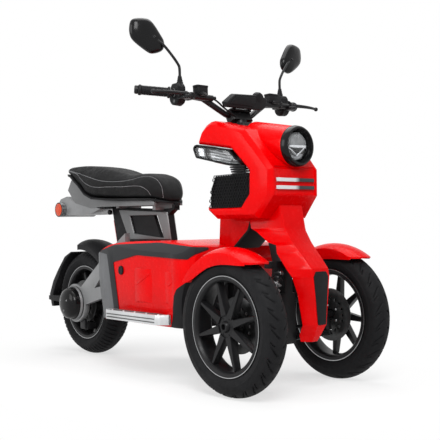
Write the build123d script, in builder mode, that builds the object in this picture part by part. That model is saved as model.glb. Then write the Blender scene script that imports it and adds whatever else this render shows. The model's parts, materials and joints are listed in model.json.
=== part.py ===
"""Electric motor scooter with two steered front wheels and one driven rear wheel.

Millimetres, +X ahead, +Y left, +Z up.  The origin is on the ground below the middle of the
whole machine.  Side profiles are drawn on side_plane(y), whose x is the distance ahead of
the rear axle and whose y is the height above the ground.
"""
import math
import os

from build123d import *

os.makedirs("parts", exist_ok=True)

# ---------------------------------------------------------------- driving dimensions
WHEELBASE = 1262.0
FRONT_TRACK = 495.0
FRONT_TYRE_R = 233.0
FRONT_TYRE_W = 92.0
REAR_TYRE_R = 236.0
REAR_TYRE_W = 122.0
RIM_SEAT_R = 152.4          # bead seat of a 12-inch wheel
RIM_LIP = 15.0              # lip height over the seat
FRONT_RIM_W = 64.0
REAR_RIM_W = 90.0
RIM_WALL = 8.0
REAR_REACH = 306.0          # mudguard plate behind the rear axle

STEM_RAKE = 25.0            # steering stem, degrees from vertical
KINGPIN_RAKE = 15.0
KINGPIN_OFFSET = FRONT_TYRE_W / 2 + 14      # wheel centre plane to kingpin
FIT = 0.05                  # radial clearance of a pin in its bore
GAP = 0.3                   # running gap of curved faces

REAR_X = -(WHEELBASE + FRONT_TYRE_R - REAR_REACH) / 2
FRONT_X = REAR_X + WHEELBASE
WHEEL_Y = FRONT_TRACK / 2
KINGPIN_Y = WHEEL_Y - KINGPIN_OFFSET
AXLE_R = 9.0

DRAWN_WHEELBASE = 1262.0    # wheelbase of the side profiles below
FLOOR_FROM = 700.0          # the floor between these stations takes up another wheelbase
FLOOR_TO = 960.0


# ---------------------------------------------------------------- helpers
def side_plane(y=0.0):
    """Side profile plane at lateral station y, drawn from the rear axle; extrudes to -Y."""
    return Plane(origin=(REAR_X, y, 0), x_dir=(1, 0, 0), z_dir=(0, -1, 0))


def axle_plane(x, y, z):
    """Section plane of a wheel: local x is +Y, local y is the radius."""
    return Plane(origin=(x, y, z), x_dir=(0, 1, 0), z_dir=(1, 0, 0))


def write(piece, label):
    piece.part.label = label
    export_step(piece.part, f"parts/{label}.step")


def write_mirrored(piece, label):
    with BuildPart() as other:
        mirror(piece.part, about=Plane.XZ)
    write(other, label)


def reach(x):
    """Station of a point of the profiles: what lies ahead of the floor goes with the front axle."""
    share = min(1.0, max(0.0, (x - FLOOR_FROM) / (FLOOR_TO - FLOOR_FROM)))
    return x + share * (WHEELBASE - DRAWN_WHEELBASE)


def drawn(points):
    return [(reach(x), z) for x, z in points]


def at(x, y, z):
    """A point given ahead of the rear axle."""
    return (REAR_X + reach(x), y, z)


# ---------------------------------------------------------------- wheels
def tyre(x, y, radius, width, rim_w):
    """Plain closed tyre ring, seated on the bead seat between the lips."""
    half_seat = rim_w / 2
    lip_r = RIM_SEAT_R + RIM_LIP
    half = width / 2
    shoulder = (half * 0.8, radius - half * 0.32)
    with BuildPart() as ring:
        with BuildSketch(axle_plane(x, y, radius)):
            with BuildLine():
                Line((-half_seat, RIM_SEAT_R), (half_seat, RIM_SEAT_R))
                Line((half_seat, RIM_SEAT_R), (half_seat, lip_r))
                Bezier((half_seat, lip_r), (half * 1.08, lip_r + 2), (half * 1.06, shoulder[1] - 8), shoulder)
                ThreePointArc(shoulder, (0, radius), (-shoulder[0], shoulder[1]))
                Bezier(
                    (-shoulder[0], shoulder[1]), (-half * 1.06, shoulder[1] - 8), (-half * 1.08, lip_r + 2),
                    (-half_seat, lip_r),
                )
                Line((-half_seat, lip_r), (-half_seat, RIM_SEAT_R))
            make_face()
        revolve(axis=Axis((x, y, radius), (0, 1, 0)))
    return ring


def rim(x, y, z, rim_w, hub_r, hub_half, spokes, spoke_w, spoke_t, dish, bore_r):
    """Cast rim: barrel with two lips, bored hub and blade spokes set off by the dish."""
    half = rim_w / 2
    lip_r = RIM_SEAT_R + RIM_LIP
    lip_t = 5.0
    inner_r = RIM_SEAT_R - RIM_WALL
    with BuildPart() as casting:
        with BuildSketch(axle_plane(x, y, z)):
            with BuildLine():
                Polyline(
                    (-half - lip_t, inner_r),
                    (half + lip_t, inner_r),
                    (half + lip_t, lip_r),
                    (half, lip_r),
                    (half, RIM_SEAT_R),
                    (-half, RIM_SEAT_R),
                    (-half, lip_r),
                    (-half - lip_t, lip_r),
                    close=True,
                )
            make_face()
        revolve(axis=Axis((x, y, z), (0, 1, 0)))
        spoke_plane = Plane(origin=(x, y + dish, z), x_dir=(1, 0, 0), z_dir=(0, -1, 0))
        with BuildSketch(spoke_plane):
            with PolarLocations(0, spokes):
                Polygon(
                    (hub_r - 4, -spoke_w * 0.32),
                    (inner_r + 3, -spoke_w * 0.5),
                    (inner_r + 3, spoke_w * 0.5),
                    (hub_r - 4, spoke_w * 0.32),
                    align=None,
                )
        extrude(amount=spoke_t / 2, both=True)
        hub_plane = Plane(origin=(x, y, z), x_dir=(1, 0, 0), z_dir=(0, -1, 0))
        with BuildSketch(hub_plane):
            Circle(hub_r)
        extrude(amount=hub_half, both=True)
        with BuildSketch(hub_plane):
            Circle(bore_r)
        extrude(amount=hub_half + 60, both=True, mode=Mode.SUBTRACT)
    return casting


def brake_disc(x, y, z, outer_r, inner_r, thickness, holes):
    disc_plane = Plane(origin=(x, y, z), x_dir=(1, 0, 0), z_dir=(0, -1, 0))
    with BuildPart() as disc:
        with BuildSketch(disc_plane):
            Circle(outer_r)
            Circle(inner_r, mode=Mode.SUBTRACT)
            with PolarLocations((outer_r + inner_r) / 2, holes):
                Circle(5.0, mode=Mode.SUBTRACT)
        extrude(amount=thickness / 2, both=True)
    return disc


FRONT_HUB_R = 38.0
FRONT_HUB_HALF = 24.0
FRONT_DISC_R = 95.0
DISC_T = 4.0
front_disc_y = WHEEL_Y - FRONT_HUB_HALF - DISC_T / 2

left_tyre = tyre(FRONT_X, WHEEL_Y, FRONT_TYRE_R, FRONT_TYRE_W, FRONT_RIM_W)
write(left_tyre, "front_left_tyre")
write_mirrored(left_tyre, "front_right_tyre")

left_rim = rim(
    FRONT_X, WHEEL_Y, FRONT_TYRE_R, FRONT_RIM_W, FRONT_HUB_R, FRONT_HUB_HALF,
    spokes=8, spoke_w=30.0, spoke_t=14.0, dish=16.0, bore_r=AXLE_R + FIT,
)
write(left_rim, "front_left_rim")
write_mirrored(left_rim, "front_right_rim")

left_disc = brake_disc(FRONT_X, front_disc_y, FRONT_TYRE_R, FRONT_DISC_R, 20.0, DISC_T, 16)
write(left_disc, "front_left_brake_disc")
write_mirrored(left_disc, "front_right_brake_disc")

rear_tyre = tyre(REAR_X, 0, REAR_TYRE_R, REAR_TYRE_W, REAR_RIM_W)
write(rear_tyre, "rear_tyre")

MOTOR_R = 80.0
MOTOR_HALF = 38.0
REAR_AXLE_R = 10.0
rear_rim = rim(
    REAR_X, 0, REAR_TYRE_R, REAR_RIM_W, MOTOR_R, MOTOR_HALF,
    spokes=10, spoke_w=22.0, spoke_t=26.0, dish=0.0, bore_r=REAR_AXLE_R + FIT,
)
DISC_BOSS = 12.0
with BuildPart() as rear_wheel:
    add(rear_rim.part)
    with BuildSketch(side_plane(-MOTOR_HALF)):
        with Locations((0, REAR_TYRE_R)):
            Circle(34)
            Circle(REAR_AXLE_R + FIT, mode=Mode.SUBTRACT)
    extrude(amount=DISC_BOSS)
write(rear_wheel, "rear_rim_motor")

REAR_DISC_R = 100.0
REAR_DISC_Y = -(MOTOR_HALF + DISC_BOSS + DISC_T / 2)
rear_disc = brake_disc(REAR_X, REAR_DISC_Y, REAR_TYRE_R, REAR_DISC_R, 20.0, DISC_T, 16)
write(rear_disc, "rear_brake_disc")

# ---------------------------------------------------------------- front suspension
PIN_R = 8.0
BARREL_R = 17.0
BARREL_HALF = 54.0
EYE_R = 15.0
EYE_HEIGHT = 16.0
EYE_GAP = 2.0
POST_HALF = 30.0            # half width of the central frame post
BALL_BACK = 90.0            # steering arm length
BALL_DROP = 26.0
BALL_PIN_R = 5.0
ROD_R = 8.0
CALIPER_SLOT = 14.4
CALIPER_W = 40.0

kingpin_origin = (FRONT_X, KINGPIN_Y, FRONT_TYRE_R)
kingpin_up = Vector(-math.sin(math.radians(KINGPIN_RAKE)), 0, math.cos(math.radians(KINGPIN_RAKE)))
kingpin_ahead = Vector(math.cos(math.radians(KINGPIN_RAKE)), 0, math.sin(math.radians(KINGPIN_RAKE)))


def kingpin_plane(up, ahead=0.0, side=KINGPIN_Y):
    """Plane square to the left kingpin, at the given height along it."""
    centre = Vector(FRONT_X, side, FRONT_TYRE_R) + kingpin_up * up + kingpin_ahead * ahead
    return Plane(origin=centre, x_dir=kingpin_ahead, z_dir=kingpin_up)


FENDER_R = FRONT_TYRE_R + 25                # crown radius of the front mudguard
FENDER_T = 4.0
FENDER_HALF = FRONT_TYRE_W / 2 + 9.5
FENDER_SKIRT = 18.0         # the skirts start this far below the crown
FENDER_FOOT = 62.0
fender_in_y = WHEEL_Y - FENDER_HALF

with BuildPart() as left_knuckle:
    # kingpin barrel
    with BuildSketch(kingpin_plane(-BARREL_HALF)):
        Circle(BARREL_R)
    extrude(amount=2 * BARREL_HALF)
    # stub axle with its shoulder and outer nut
    stub_plane = Plane(origin=kingpin_origin, x_dir=(-1, 0, 0), z_dir=(0, 1, 0))
    hub_inner = KINGPIN_OFFSET - FRONT_HUB_HALF
    with BuildSketch(stub_plane):
        Circle(16.0)
    extrude(amount=hub_inner - GAP)
    with BuildSketch(stub_plane):
        Circle(AXLE_R)
    extrude(amount=KINGPIN_OFFSET + FRONT_HUB_HALF + 7)
    with BuildSketch(stub_plane.offset(KINGPIN_OFFSET + FRONT_HUB_HALF + GAP)):
        Circle(14.0)
    extrude(amount=7)
    # steering arm with the ball pin standing on its end
    with BuildSketch(kingpin_plane(-BALL_DROP - 12)):
        with Locations((-BALL_BACK / 2, 0)):
            Rectangle(BALL_BACK, 20)
        with Locations((-BALL_BACK, 0)):
            Circle(12)
    extrude(amount=12)
    with BuildSketch(kingpin_plane(-BALL_DROP, -BALL_BACK)):
        Circle(BALL_PIN_R)
    extrude(amount=20)
    # bracket that carries the mudguard, standing behind the upper arm's eye
    bracket = Plane(origin=(FRONT_X, fender_in_y, FRONT_TYRE_R), x_dir=(1, 0, 0), z_dir=(0, -1, 0))
    with BuildSketch(bracket):
        with BuildLine():
            Polyline(
                (-8, -20), (-14, 25), (-46, 50), (-56, 90), (-50, FENDER_R - 43), (-85, FENDER_R - 43),
                (-84, 85), (-72, 35), (-40, -20), close=True,
            )
        make_face()
    extrude(amount=5)
    # lug for the brake caliper
    with BuildSketch(bracket):
        with BuildLine():
            Polyline((5, 22), (-95, 62), (-108, 24), (-8, -16), close=True)
        make_face()
    extrude(amount=5)
    # bore of the kingpin
    with BuildSketch(kingpin_plane(-BARREL_HALF - 1)):
        Circle(PIN_R + FIT)
    extrude(amount=2 * BARREL_HALF + 2, mode=Mode.SUBTRACT)
write(left_knuckle, "left_knuckle")
write_mirrored(left_knuckle, "right_knuckle")

# brake caliper astride the disc, behind the axle
caliper_plane = Plane(
    origin=(FRONT_X, front_disc_y, FRONT_TYRE_R), x_dir=(-1, 0, 0.4), z_dir=(0, 1, 0)
)
caliper_in = front_disc_y - CALIPER_W / 2
with BuildPart() as left_caliper:
    with BuildSketch(caliper_plane):
        with Locations((92, 0)):
            RectangleRounded(36, 72, 8)
    extrude(amount=CALIPER_W / 2, both=True)
    with BuildSketch(caliper_plane):
        Circle(FRONT_DISC_R + 6)
    extrude(amount=CALIPER_SLOT / 2, both=True, mode=Mode.SUBTRACT)
    # two bosses that bolt it to the knuckle's lug
    with BuildSketch(caliper_plane.offset(-CALIPER_W / 2)):
        with Locations((84, 0)):
            Circle(7)
    extrude(amount=-(caliper_in - fender_in_y))
write(left_caliper, "front_left_caliper")
write_mirrored(left_caliper, "front_right_caliper")

# mudguard: a ring with two skirts, trimmed to its side outline round the axle
FENDER_DRAWN_R = 258.0
fender_edge = [(-234, 147), (-166, 141), (-108, 168), (-47, 193), (20, 202), (90, 200), (180, 207)]
fender_top = [(180, 207), (250, 330), (-250, 330), (-234, 147)]
FENDER_TIP = 152.0          # how far the crown reaches ahead of the axle
FENDER_CORNER = 90.0        # and its rounded corners
outer_skirt = FENDER_R - FENDER_SKIRT
inner_skirt = outer_skirt - 2
fender_scale = FENDER_R / FENDER_DRAWN_R
fender_foot = FENDER_R - FENDER_FOOT
fender_inside = FENDER_HALF - FENDER_T
with BuildPart() as left_fender:
    with BuildSketch(axle_plane(FRONT_X, WHEEL_Y, FRONT_TYRE_R)):
        with BuildLine():
            Line((-FENDER_HALF, fender_foot), (-FENDER_HALF, outer_skirt))
            ThreePointArc((-FENDER_HALF, outer_skirt), (0, FENDER_R), (FENDER_HALF, outer_skirt))
            Line((FENDER_HALF, outer_skirt), (FENDER_HALF, fender_foot))
            Line((FENDER_HALF, fender_foot), (fender_inside, fender_foot))
            Line((fender_inside, fender_foot), (fender_inside, inner_skirt))
            ThreePointArc((fender_inside, inner_skirt), (0, FENDER_R - FENDER_T), (-fender_inside, inner_skirt))
            Line((-fender_inside, inner_skirt), (-fender_inside, fender_foot))
            Line((-fender_inside, fender_foot), (-FENDER_HALF, fender_foot))
        make_face()
    revolve(axis=Axis((FRONT_X, WHEEL_Y, FRONT_TYRE_R), (0, 1, 0)))
    with BuildSketch(Plane(origin=(FRONT_X, WHEEL_Y, FRONT_TYRE_R), x_dir=(1, 0, 0), z_dir=(0, -1, 0))):
        with BuildLine():
            Spline(*[(x * fender_scale, z * fender_scale) for x, z in fender_edge])
            Polyline(*[(x * fender_scale, z * fender_scale) for x, z in fender_top])
        make_face()
    extrude(amount=FENDER_HALF + 5, both=True, mode=Mode.INTERSECT)
    # the front end is round seen from above
    corner = FENDER_CORNER * fender_scale
    with BuildSketch(Plane(origin=(FRONT_X, WHEEL_Y, FRONT_TYRE_R))):
        with BuildLine():
            Polyline((corner, FENDER_HALF + 5), (-350, FENDER_HALF + 5), (-350, -FENDER_HALF - 5),
                     (corner, -FENDER_HALF - 5))
            ThreePointArc((corner, -FENDER_HALF - 5), (FENDER_TIP * fender_scale, 0), (corner, FENDER_HALF + 5))
        make_face()
    extrude(amount=FENDER_R + 5, mode=Mode.INTERSECT)
write(left_fender, "front_left_mudguard")
write_mirrored(left_fender, "front_right_mudguard")

# tie rod between the two ball pins
with BuildPart() as tie_rod:
    with BuildSketch(kingpin_plane(-BALL_DROP + GAP, -BALL_BACK)):
        Circle(12)
    extrude(amount=14)
    with BuildSketch(kingpin_plane(-BALL_DROP + GAP, -BALL_BACK, -KINGPIN_Y)):
        Circle(12)
    extrude(amount=14)
    rod_centre = kingpin_plane(-BALL_DROP + GAP + 7, -BALL_BACK, 0).origin
    with BuildSketch(Plane(origin=rod_centre, x_dir=(1, 0, 0), z_dir=(0, 1, 0))):
        Circle(ROD_R - 2)
    extrude(amount=KINGPIN_Y - 8, both=True)
    for side in (KINGPIN_Y, -KINGPIN_Y):
        with BuildSketch(kingpin_plane(-BALL_DROP, -BALL_BACK, side)):
            Circle(BALL_PIN_R + FIT)
        extrude(amount=20, mode=Mode.SUBTRACT)
write(tie_rod, "tie_rod")

# upper and lower arm of each side with the kingpin between their eyes
ARM_W = 24.0
with BuildPart() as front_arms:
    for up in (BARREL_HALF + EYE_GAP, -BARREL_HALF - EYE_GAP - EYE_HEIGHT):
        with BuildSketch(kingpin_plane(up)):
            Circle(EYE_R)
            with Locations((0, -(KINGPIN_Y - POST_HALF) / 2)):
                Rectangle(ARM_W, KINGPIN_Y - POST_HALF)
        extrude(amount=EYE_HEIGHT)
    with BuildSketch(kingpin_plane(-BARREL_HALF - EYE_GAP - EYE_HEIGHT)):
        Circle(PIN_R)
    extrude(amount=2 * (BARREL_HALF + EYE_GAP + EYE_HEIGHT) + 6)
    mirror(about=Plane.XZ)
write(front_arms, "front_arms")

# ---------------------------------------------------------------- body
BODY_WALL = 4.0
BODY_FRONT = 985.0          # foot of the body's front wall
BODY_BOTTOM = 200.0
BEVEL = 40.0
BODY_REAR = 320.0


def body_block(inset, bottom=0.0):
    """The body's outer form, moved inwards by the inset, its floor lowered by bottom."""
    with BuildPart() as block:
        with BuildSketch(side_plane(0)):
            with BuildLine():
                Polyline(*drawn([(BODY_FRONT, BODY_BOTTOM), (399, BODY_BOTTOM), (330, 458)]))
                ThreePointArc(*drawn([(330, 458), (425, 493), (540, 509)]))
                ThreePointArc(*drawn([(540, 509), (790, 511), (1060, 487)]))
                Polyline(*drawn([(1060, 487), (1052, 470), (1015, 440), (1008, 408)]))
                ThreePointArc(*drawn([(1008, 408), (970, 338), (960, 262)]))
                ThreePointArc(*drawn([(960, 262), (968, 230), (BODY_FRONT, BODY_BOTTOM)]))
            make_face()
            if inset:
                offset(amount=-inset, kind=Kind.ARC)
            if bottom:
                with Locations(((400 + reach(BODY_FRONT)) / 2, BODY_BOTTOM)):
                    Rectangle(reach(BODY_FRONT) - 425, 2 * bottom + 2 * inset)
        extrude(amount=300, both=True)
        with BuildSketch(Plane(origin=(REAR_X, 0, 0))):
            for side in (1, -1):
                with BuildLine():
                    Polyline((reach(1062), 0), (BODY_REAR, 0), (BODY_REAR, side * 128))
                    ThreePointArc((BODY_REAR, side * 128), (332, side * 170), (376, side * 190))
                    ThreePointArc((376, side * 190), (640, side * 213), (reach(900), side * 224))
                    ThreePointArc(*[(reach(x), side * y) for x, y in ((900, 224), (965, 224), (1012, 200))])
                    Polyline(*[(reach(x), side * y) for x, y in ((1012, 200), (1062, 110), (1062, 0))])
                make_face()
            if inset:
                offset(amount=-inset, kind=Kind.ARC)
        extrude(amount=700, mode=Mode.INTERSECT)
        for side in (1, -1):
            # sloping shoulder between the flank and the deck
            with BuildSketch(Plane(origin=(REAR_X, 0, 0), x_dir=(0, 1, 0), z_dir=(1, 0, 0))):
                with BuildLine():
                    Polyline(
                        (side * (172 - inset), 530 - inset), (side * (236 - inset), 452 - inset),
                        (side * 330, 452 - inset), (side * 330, 600), (side * 172, 600), close=True,
                    )
                make_face()
            extrude(amount=1200, mode=Mode.SUBTRACT)
    return block


with BuildPart() as body_shell:
    add(body_block(0).part)
    add(body_block(BODY_WALL, BODY_WALL + 2).part, mode=Mode.SUBTRACT)
write(body_shell, "body_shell")

with BuildPart() as belly_pan:
    add(body_block(BODY_WALL + GAP).part)
    with BuildSketch(Plane.XY.offset(BODY_BOTTOM + BODY_WALL)):
        with Locations((REAR_X + 700, 0)):
            Rectangle(2 * WHEELBASE, 600)
    extrude(amount=5, mode=Mode.INTERSECT)
write(belly_pan, "belly_pan")

with BuildPart() as battery:
    with BuildSketch(Plane.XY.offset(BODY_BOTTOM + BODY_WALL + 5)):
        with Locations((REAR_X + 680, 0)):
            Rectangle(400, 260)
    extrude(amount=190)
write(battery, "battery")

TRIM_T = 3.0
with BuildPart() as side_trims:
    add(body_block(-TRIM_T).part)
    add(body_block(0).part, mode=Mode.SUBTRACT)
    with BuildSketch(side_plane(0)):
        with BuildLine():
            FilletPolyline(
                *drawn([(300, 446), (385, 479), (500, 501), (790, 507), (1048, 487), (988, 446), (672, 460),
                        (482, 430), (524, 236), (500, BODY_BOTTOM + 2), (385, BODY_BOTTOM + 2)]),
                radius=6, close=True,
            )
        make_face()
    extrude(amount=300, both=True, mode=Mode.INTERSECT)
    with BuildSketch(Plane(origin=(REAR_X, 0, 0))):
        Rectangle(2600, 2 * 140)
    extrude(amount=700, mode=Mode.SUBTRACT)
write(side_trims, "side_trims")

BOARD_TOP = 245.0
BOARD_T = 36.0
with BuildPart() as running_boards:
    with BuildSketch(Plane(origin=(REAR_X, 0, BOARD_TOP - BOARD_T))):
        with BuildLine():
            FilletPolyline(
                *drawn([(463, 190), (463, 226), (496, 250), (855, 268), (876, 262), (896, 236), (896, 190)]),
                radius=5, close=True,
            )
        make_face()
        mirror(about=Plane.XZ)
    extrude(amount=BOARD_T)
    add(body_block(-GAP).part, mode=Mode.SUBTRACT)
    add(body_block(-TRIM_T - GAP).part, mode=Mode.SUBTRACT)
write(running_boards, "running_boards")

# ---------------------------------------------------------------- frame
STEM_TOP = at(1045, 0, 940)
stem_down = Vector(math.sin(math.radians(STEM_RAKE)), 0, -math.cos(math.radians(STEM_RAKE)))
STEM_R = 16.0
HEAD_TUBE_R = 28.0
HEAD_TOP = 70.0
HEAD_BOTTOM = 395.0


def stem_plane(down):
    """Plane square to the steering stem; +z points up the stem."""
    return Plane(
        origin=Vector(*STEM_TOP) + stem_down * down,
        x_dir=(math.cos(math.radians(STEM_RAKE)), 0, math.sin(math.radians(STEM_RAKE))),
        z_dir=-stem_down,
    )


SHOCK_Y = 62.0
post_low = FRONT_TYRE_R - 83
post_high = FRONT_TYRE_R + 92
bridge_low = FRONT_TYRE_R + 179             # the bridge carries the shocks' upper ends
bridge_top = FRONT_TYRE_R + 203
with BuildPart() as frame:
    # head tube
    with BuildSketch(stem_plane(HEAD_BOTTOM)):
        Circle(HEAD_TUBE_R)
    extrude(amount=HEAD_BOTTOM - HEAD_TOP)
    # web from the head tube down to the front post, post, shock bridge and spine
    with BuildSketch(side_plane(0)):
        with BuildLine():
            Polyline(
                *drawn([(1180, 615), (1232, 575), (1272, bridge_top), (1300, bridge_top),
                        (1300, bridge_low), (1275, bridge_low), (1275, post_low), (1225, post_low),
                        (1222, 222), (940, 222), (940, 292), (1200, 292), (1215, 430), (1170, 600)]),
                close=True,
            )
        make_face()
    extrude(amount=18, both=True)
    with BuildSketch(side_plane(0)):
        with BuildLine():
            Polyline(
                *drawn([(1275, post_low), (1275, post_high), (1225, post_high), (1225, post_low)]), close=True
            )
        make_face()
    extrude(amount=POST_HALF, both=True)
    with BuildSketch(side_plane(0)):
        with BuildLine():
            Polyline(
                *drawn([(1240, bridge_low), (1300, bridge_low), (1300, bridge_top), (1240, bridge_top)]),
                close=True,
            )
        make_face()
    extrude(amount=SHOCK_Y + 18, both=True)
    # bore of the stem
    with BuildSketch(stem_plane(HEAD_BOTTOM + 60)):
        Circle(STEM_R + FIT)
    extrude(amount=HEAD_BOTTOM - HEAD_TOP + 70, mode=Mode.SUBTRACT)
    add(body_block(0).part, mode=Mode.SUBTRACT)
write(frame, "frame")

# coil-over shocks between the lower arms and the bridge
SHOCK_R = 17.0
lower_arm_top = kingpin_plane(-BARREL_HALF - EYE_GAP, 0, 112).origin
with BuildPart() as front_shocks:
    shock_low = Vector(lower_arm_top.X + 2, 112, lower_arm_top.Z + 3.6)
    shock_high = Vector(FRONT_X + 24, SHOCK_Y, bridge_low - 0.5)
    shock_run = shock_high - shock_low
    with BuildSketch(Plane(origin=shock_low + shock_run.normalized() * 22, z_dir=shock_run)):
        Circle(SHOCK_R)
    extrude(amount=shock_run.length - 45)
    with BuildSketch(Plane(origin=shock_low, z_dir=shock_run)):
        Circle(8)
    extrude(amount=shock_run.length - 6)
    mirror(about=Plane.XZ)
write(front_shocks, "front_shocks")

# ---------------------------------------------------------------- front cowl
COWL_FRONT = 1322.0
COWL_HALF = 118.0
COWL_TAPER = 0.09
COWL_WALL = 9.0
FLANK_T = 14.0              # the cowl's side panels
COWL_BEVEL = 14.0           # bevel round each side panel
MOUTH_BEVEL = 12.0          # bevel round the mouth in each side panel
FACE_RECESS = 4.0
cowl_outline = drawn([
    (1012, 619), (1056, 587), (1253, 583), (1320, 659), (1322, 750), (1195, 893), (1140, 912),
    (1055, 936), (1034, 934), (1010, 924), (986, 903), (969, 868),
])
cowl_mouth = drawn([
    (968, 861), (1122, 832), (1135, 829), (1217, 747), (1213, 671), (1173, 626), (1020, 629)
])


def flank_plane(inset):
    """The left flank of the cowl moved inwards; local x is counted from the cowl's front."""
    return Plane(
        origin=at(COWL_FRONT, COWL_HALF - inset, 0),
        x_dir=(1, -COWL_TAPER, 0),
        z_dir=(-COWL_TAPER, -1, 0),
    )


def on_flank(points):
    return [(reach(x) - reach(COWL_FRONT), z) for x, z in points]


def between_flanks(inset):
    """Trims the part being built to the space between the two flanks."""
    left = flank_plane(inset)
    right = Plane(
        origin=at(COWL_FRONT, -COWL_HALF + inset, 0),
        x_dir=(1, COWL_TAPER, 0),
        z_dir=(-COWL_TAPER, 1, 0),
    )
    split(bisect_by=left, keep=Keep.TOP)
    split(bisect_by=right, keep=Keep.TOP)


STEM_SLOT = 120.0           # width of the cowl's slot for the bar clamp
NACELLE_R = 70.5
NACELLE_Z = 826.0
NACELLE_RISE = 36.0
NACELLE_BACK = 185.0


def nacelle(radius, lengthen=0.0):
    """Round housing of the headlamp, leaning up towards its rear."""
    front = Plane(origin=at(COWL_FRONT + lengthen, 0, NACELLE_Z), x_dir=(0, 1, 0), z_dir=(1, 0, 0))
    back = Plane(
        origin=at(COWL_FRONT - NACELLE_BACK, 0, NACELLE_Z + NACELLE_RISE), x_dir=(0, 1, 0), z_dir=(1, 0, 0)
    )
    with BuildPart() as tube:
        with BuildSketch(front):
            Circle(radius)
        with BuildSketch(back):
            Circle(radius)
        loft()
    return tube


def bevel_flanks():
    """Bevels the side panels' outline on the part being built."""
    panels = faces().sort_by(Axis.Y)
    chamfer(panels[0].edges() + panels[-1].edges(), length=COWL_BEVEL)


with BuildPart() as cowl_cavity:
    with BuildSketch(side_plane(0)):
        with BuildLine():
            Polyline(*cowl_outline, close=True)
        make_face()
        offset(amount=-COWL_WALL, kind=Kind.INTERSECTION)
    extrude(amount=260, both=True)
    between_flanks(FLANK_T)

with BuildPart() as left_mouth:
    with BuildSketch(flank_plane(0)):
        with BuildLine():
            Polyline(*[(x - reach(COWL_FRONT), z) for x, z in [*cowl_mouth, (900, 610), (860, 878)]], close=True)
        make_face()
        offset(amount=MOUTH_BEVEL, kind=Kind.INTERSECTION)
    extrude(amount=FLANK_T, taper=math.degrees(math.atan(MOUTH_BEVEL / FLANK_T)))

with BuildPart() as front_cowl:
    with BuildSketch(side_plane(0)):
        with BuildLine():
            Polyline(*cowl_outline, close=True)
        make_face()
    extrude(amount=260, both=True)
    between_flanks(0)
    bevel_flanks()
    # shallow recess of the face between its two edge strips
    with BuildSketch(side_plane(0)):
        with BuildLine():
            Polyline(
                *drawn([(1320 - FACE_RECESS, 664), (1322 - FACE_RECESS, 748), (1312, 756), (1345, 780),
                        (1345, 640)]),
                close=True,
            )
        make_face()
    extrude(amount=COWL_HALF - 21, both=True, mode=Mode.SUBTRACT)
    add(nacelle(NACELLE_R).part)
    add(cowl_cavity.part, mode=Mode.SUBTRACT)
    add(nacelle(NACELLE_R - COWL_WALL, 1).part, mode=Mode.SUBTRACT)
    # C-shaped mouth in each flank, open to the rear
    with BuildSketch(side_plane(0)):
        with BuildLine():
            Polyline(*cowl_mouth, (940, 640), (900, 861), close=True)
        make_face()
    extrude(amount=260, both=True, mode=Mode.SUBTRACT)
    add(left_mouth.part, mode=Mode.SUBTRACT)
    add(mirror(left_mouth.part, about=Plane.XZ, mode=Mode.PRIVATE), mode=Mode.SUBTRACT)
    # slot for the stem between the upper arms, and holes for the head tube and the lamps
    with BuildSketch(Plane(origin=(REAR_X, 0, 800))):
        with Locations((reach(1030), 0)):
            Rectangle(180, STEM_SLOT)
    extrude(amount=200, mode=Mode.SUBTRACT)
    with BuildSketch(Plane(origin=(REAR_X, 0, 560))):
        with Locations((reach(1190), 0)):
            Rectangle(110, 64)
    extrude(amount=50, mode=Mode.SUBTRACT)
write(front_cowl, "front_cowl")

# ---------------------------------------------------------------- lamps and grilles
BEZEL_DEPTH = 24.0
LENS_R = 48.5
with BuildPart() as headlamp_bezel:
    bezel_plane = Plane(origin=at(COWL_FRONT - 4, 0, NACELLE_Z), x_dir=(0, 1, 0), z_dir=(1, 0, 0))
    with BuildSketch(bezel_plane):
        Circle(NACELLE_R - COWL_WALL - 1.5)
    extrude(amount=4)
    with BuildSketch(bezel_plane.offset(4 + GAP)):
        Circle(NACELLE_R)
    extrude(amount=BEZEL_DEPTH, taper=8)
    with BuildSketch(bezel_plane.offset(3)):
        Circle(NACELLE_R - COWL_WALL - 1.5)
    extrude(amount=4)
    with BuildSketch(bezel_plane.offset(2)):
        Circle(LENS_R + GAP)
    extrude(amount=BEZEL_DEPTH + 10, mode=Mode.SUBTRACT)
write(headlamp_bezel, "headlamp_bezel")

with BuildPart() as headlamp_lens:
    with BuildSketch(bezel_plane.offset(2)):
        Circle(LENS_R)
    extrude(amount=14)
write(headlamp_lens, "headlamp_lens")

LED_HALF = COWL_HALF - 29
LED_H = 12.5
with BuildPart() as led_bars:
    with BuildSketch(Plane(origin=at(COWL_FRONT - 8, 0, 0), x_dir=(0, 1, 0), z_dir=(1, 0, 0))):
        for height in (712, 686):
            with Locations((0, height)):
                Rectangle(2 * LED_HALF, LED_H)
    extrude(amount=9)
    add(front_cowl.part, mode=Mode.SUBTRACT)
write(led_bars, "led_bars")

LAMP_DEPTH = 40.0
with BuildPart() as side_lamps:
    with BuildSketch(flank_plane(FLANK_T + GAP)):
        with BuildLine():
            Polyline(
                *on_flank([(962, 855), (950, 843), (963, 809), (1138, 768), (1190, 765), (1128, 828)]),
                close=True,
            )
        make_face()
    extrude(amount=LAMP_DEPTH)
    with BuildSketch(flank_plane(3)):
        with BuildLine():
            Polyline(
                *on_flank([(950, 858), (946, 843), (963, 809), (1138, 768), (1193, 766), (1128, 829.5),
                           (1122, 830), (968, 860)]),
                close=True,
            )
        make_face()
    extrude(amount=FLANK_T)
    add(front_cowl.part, mode=Mode.SUBTRACT)
    mirror(about=Plane.XZ)
write(side_lamps, "side_lamps")

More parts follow.
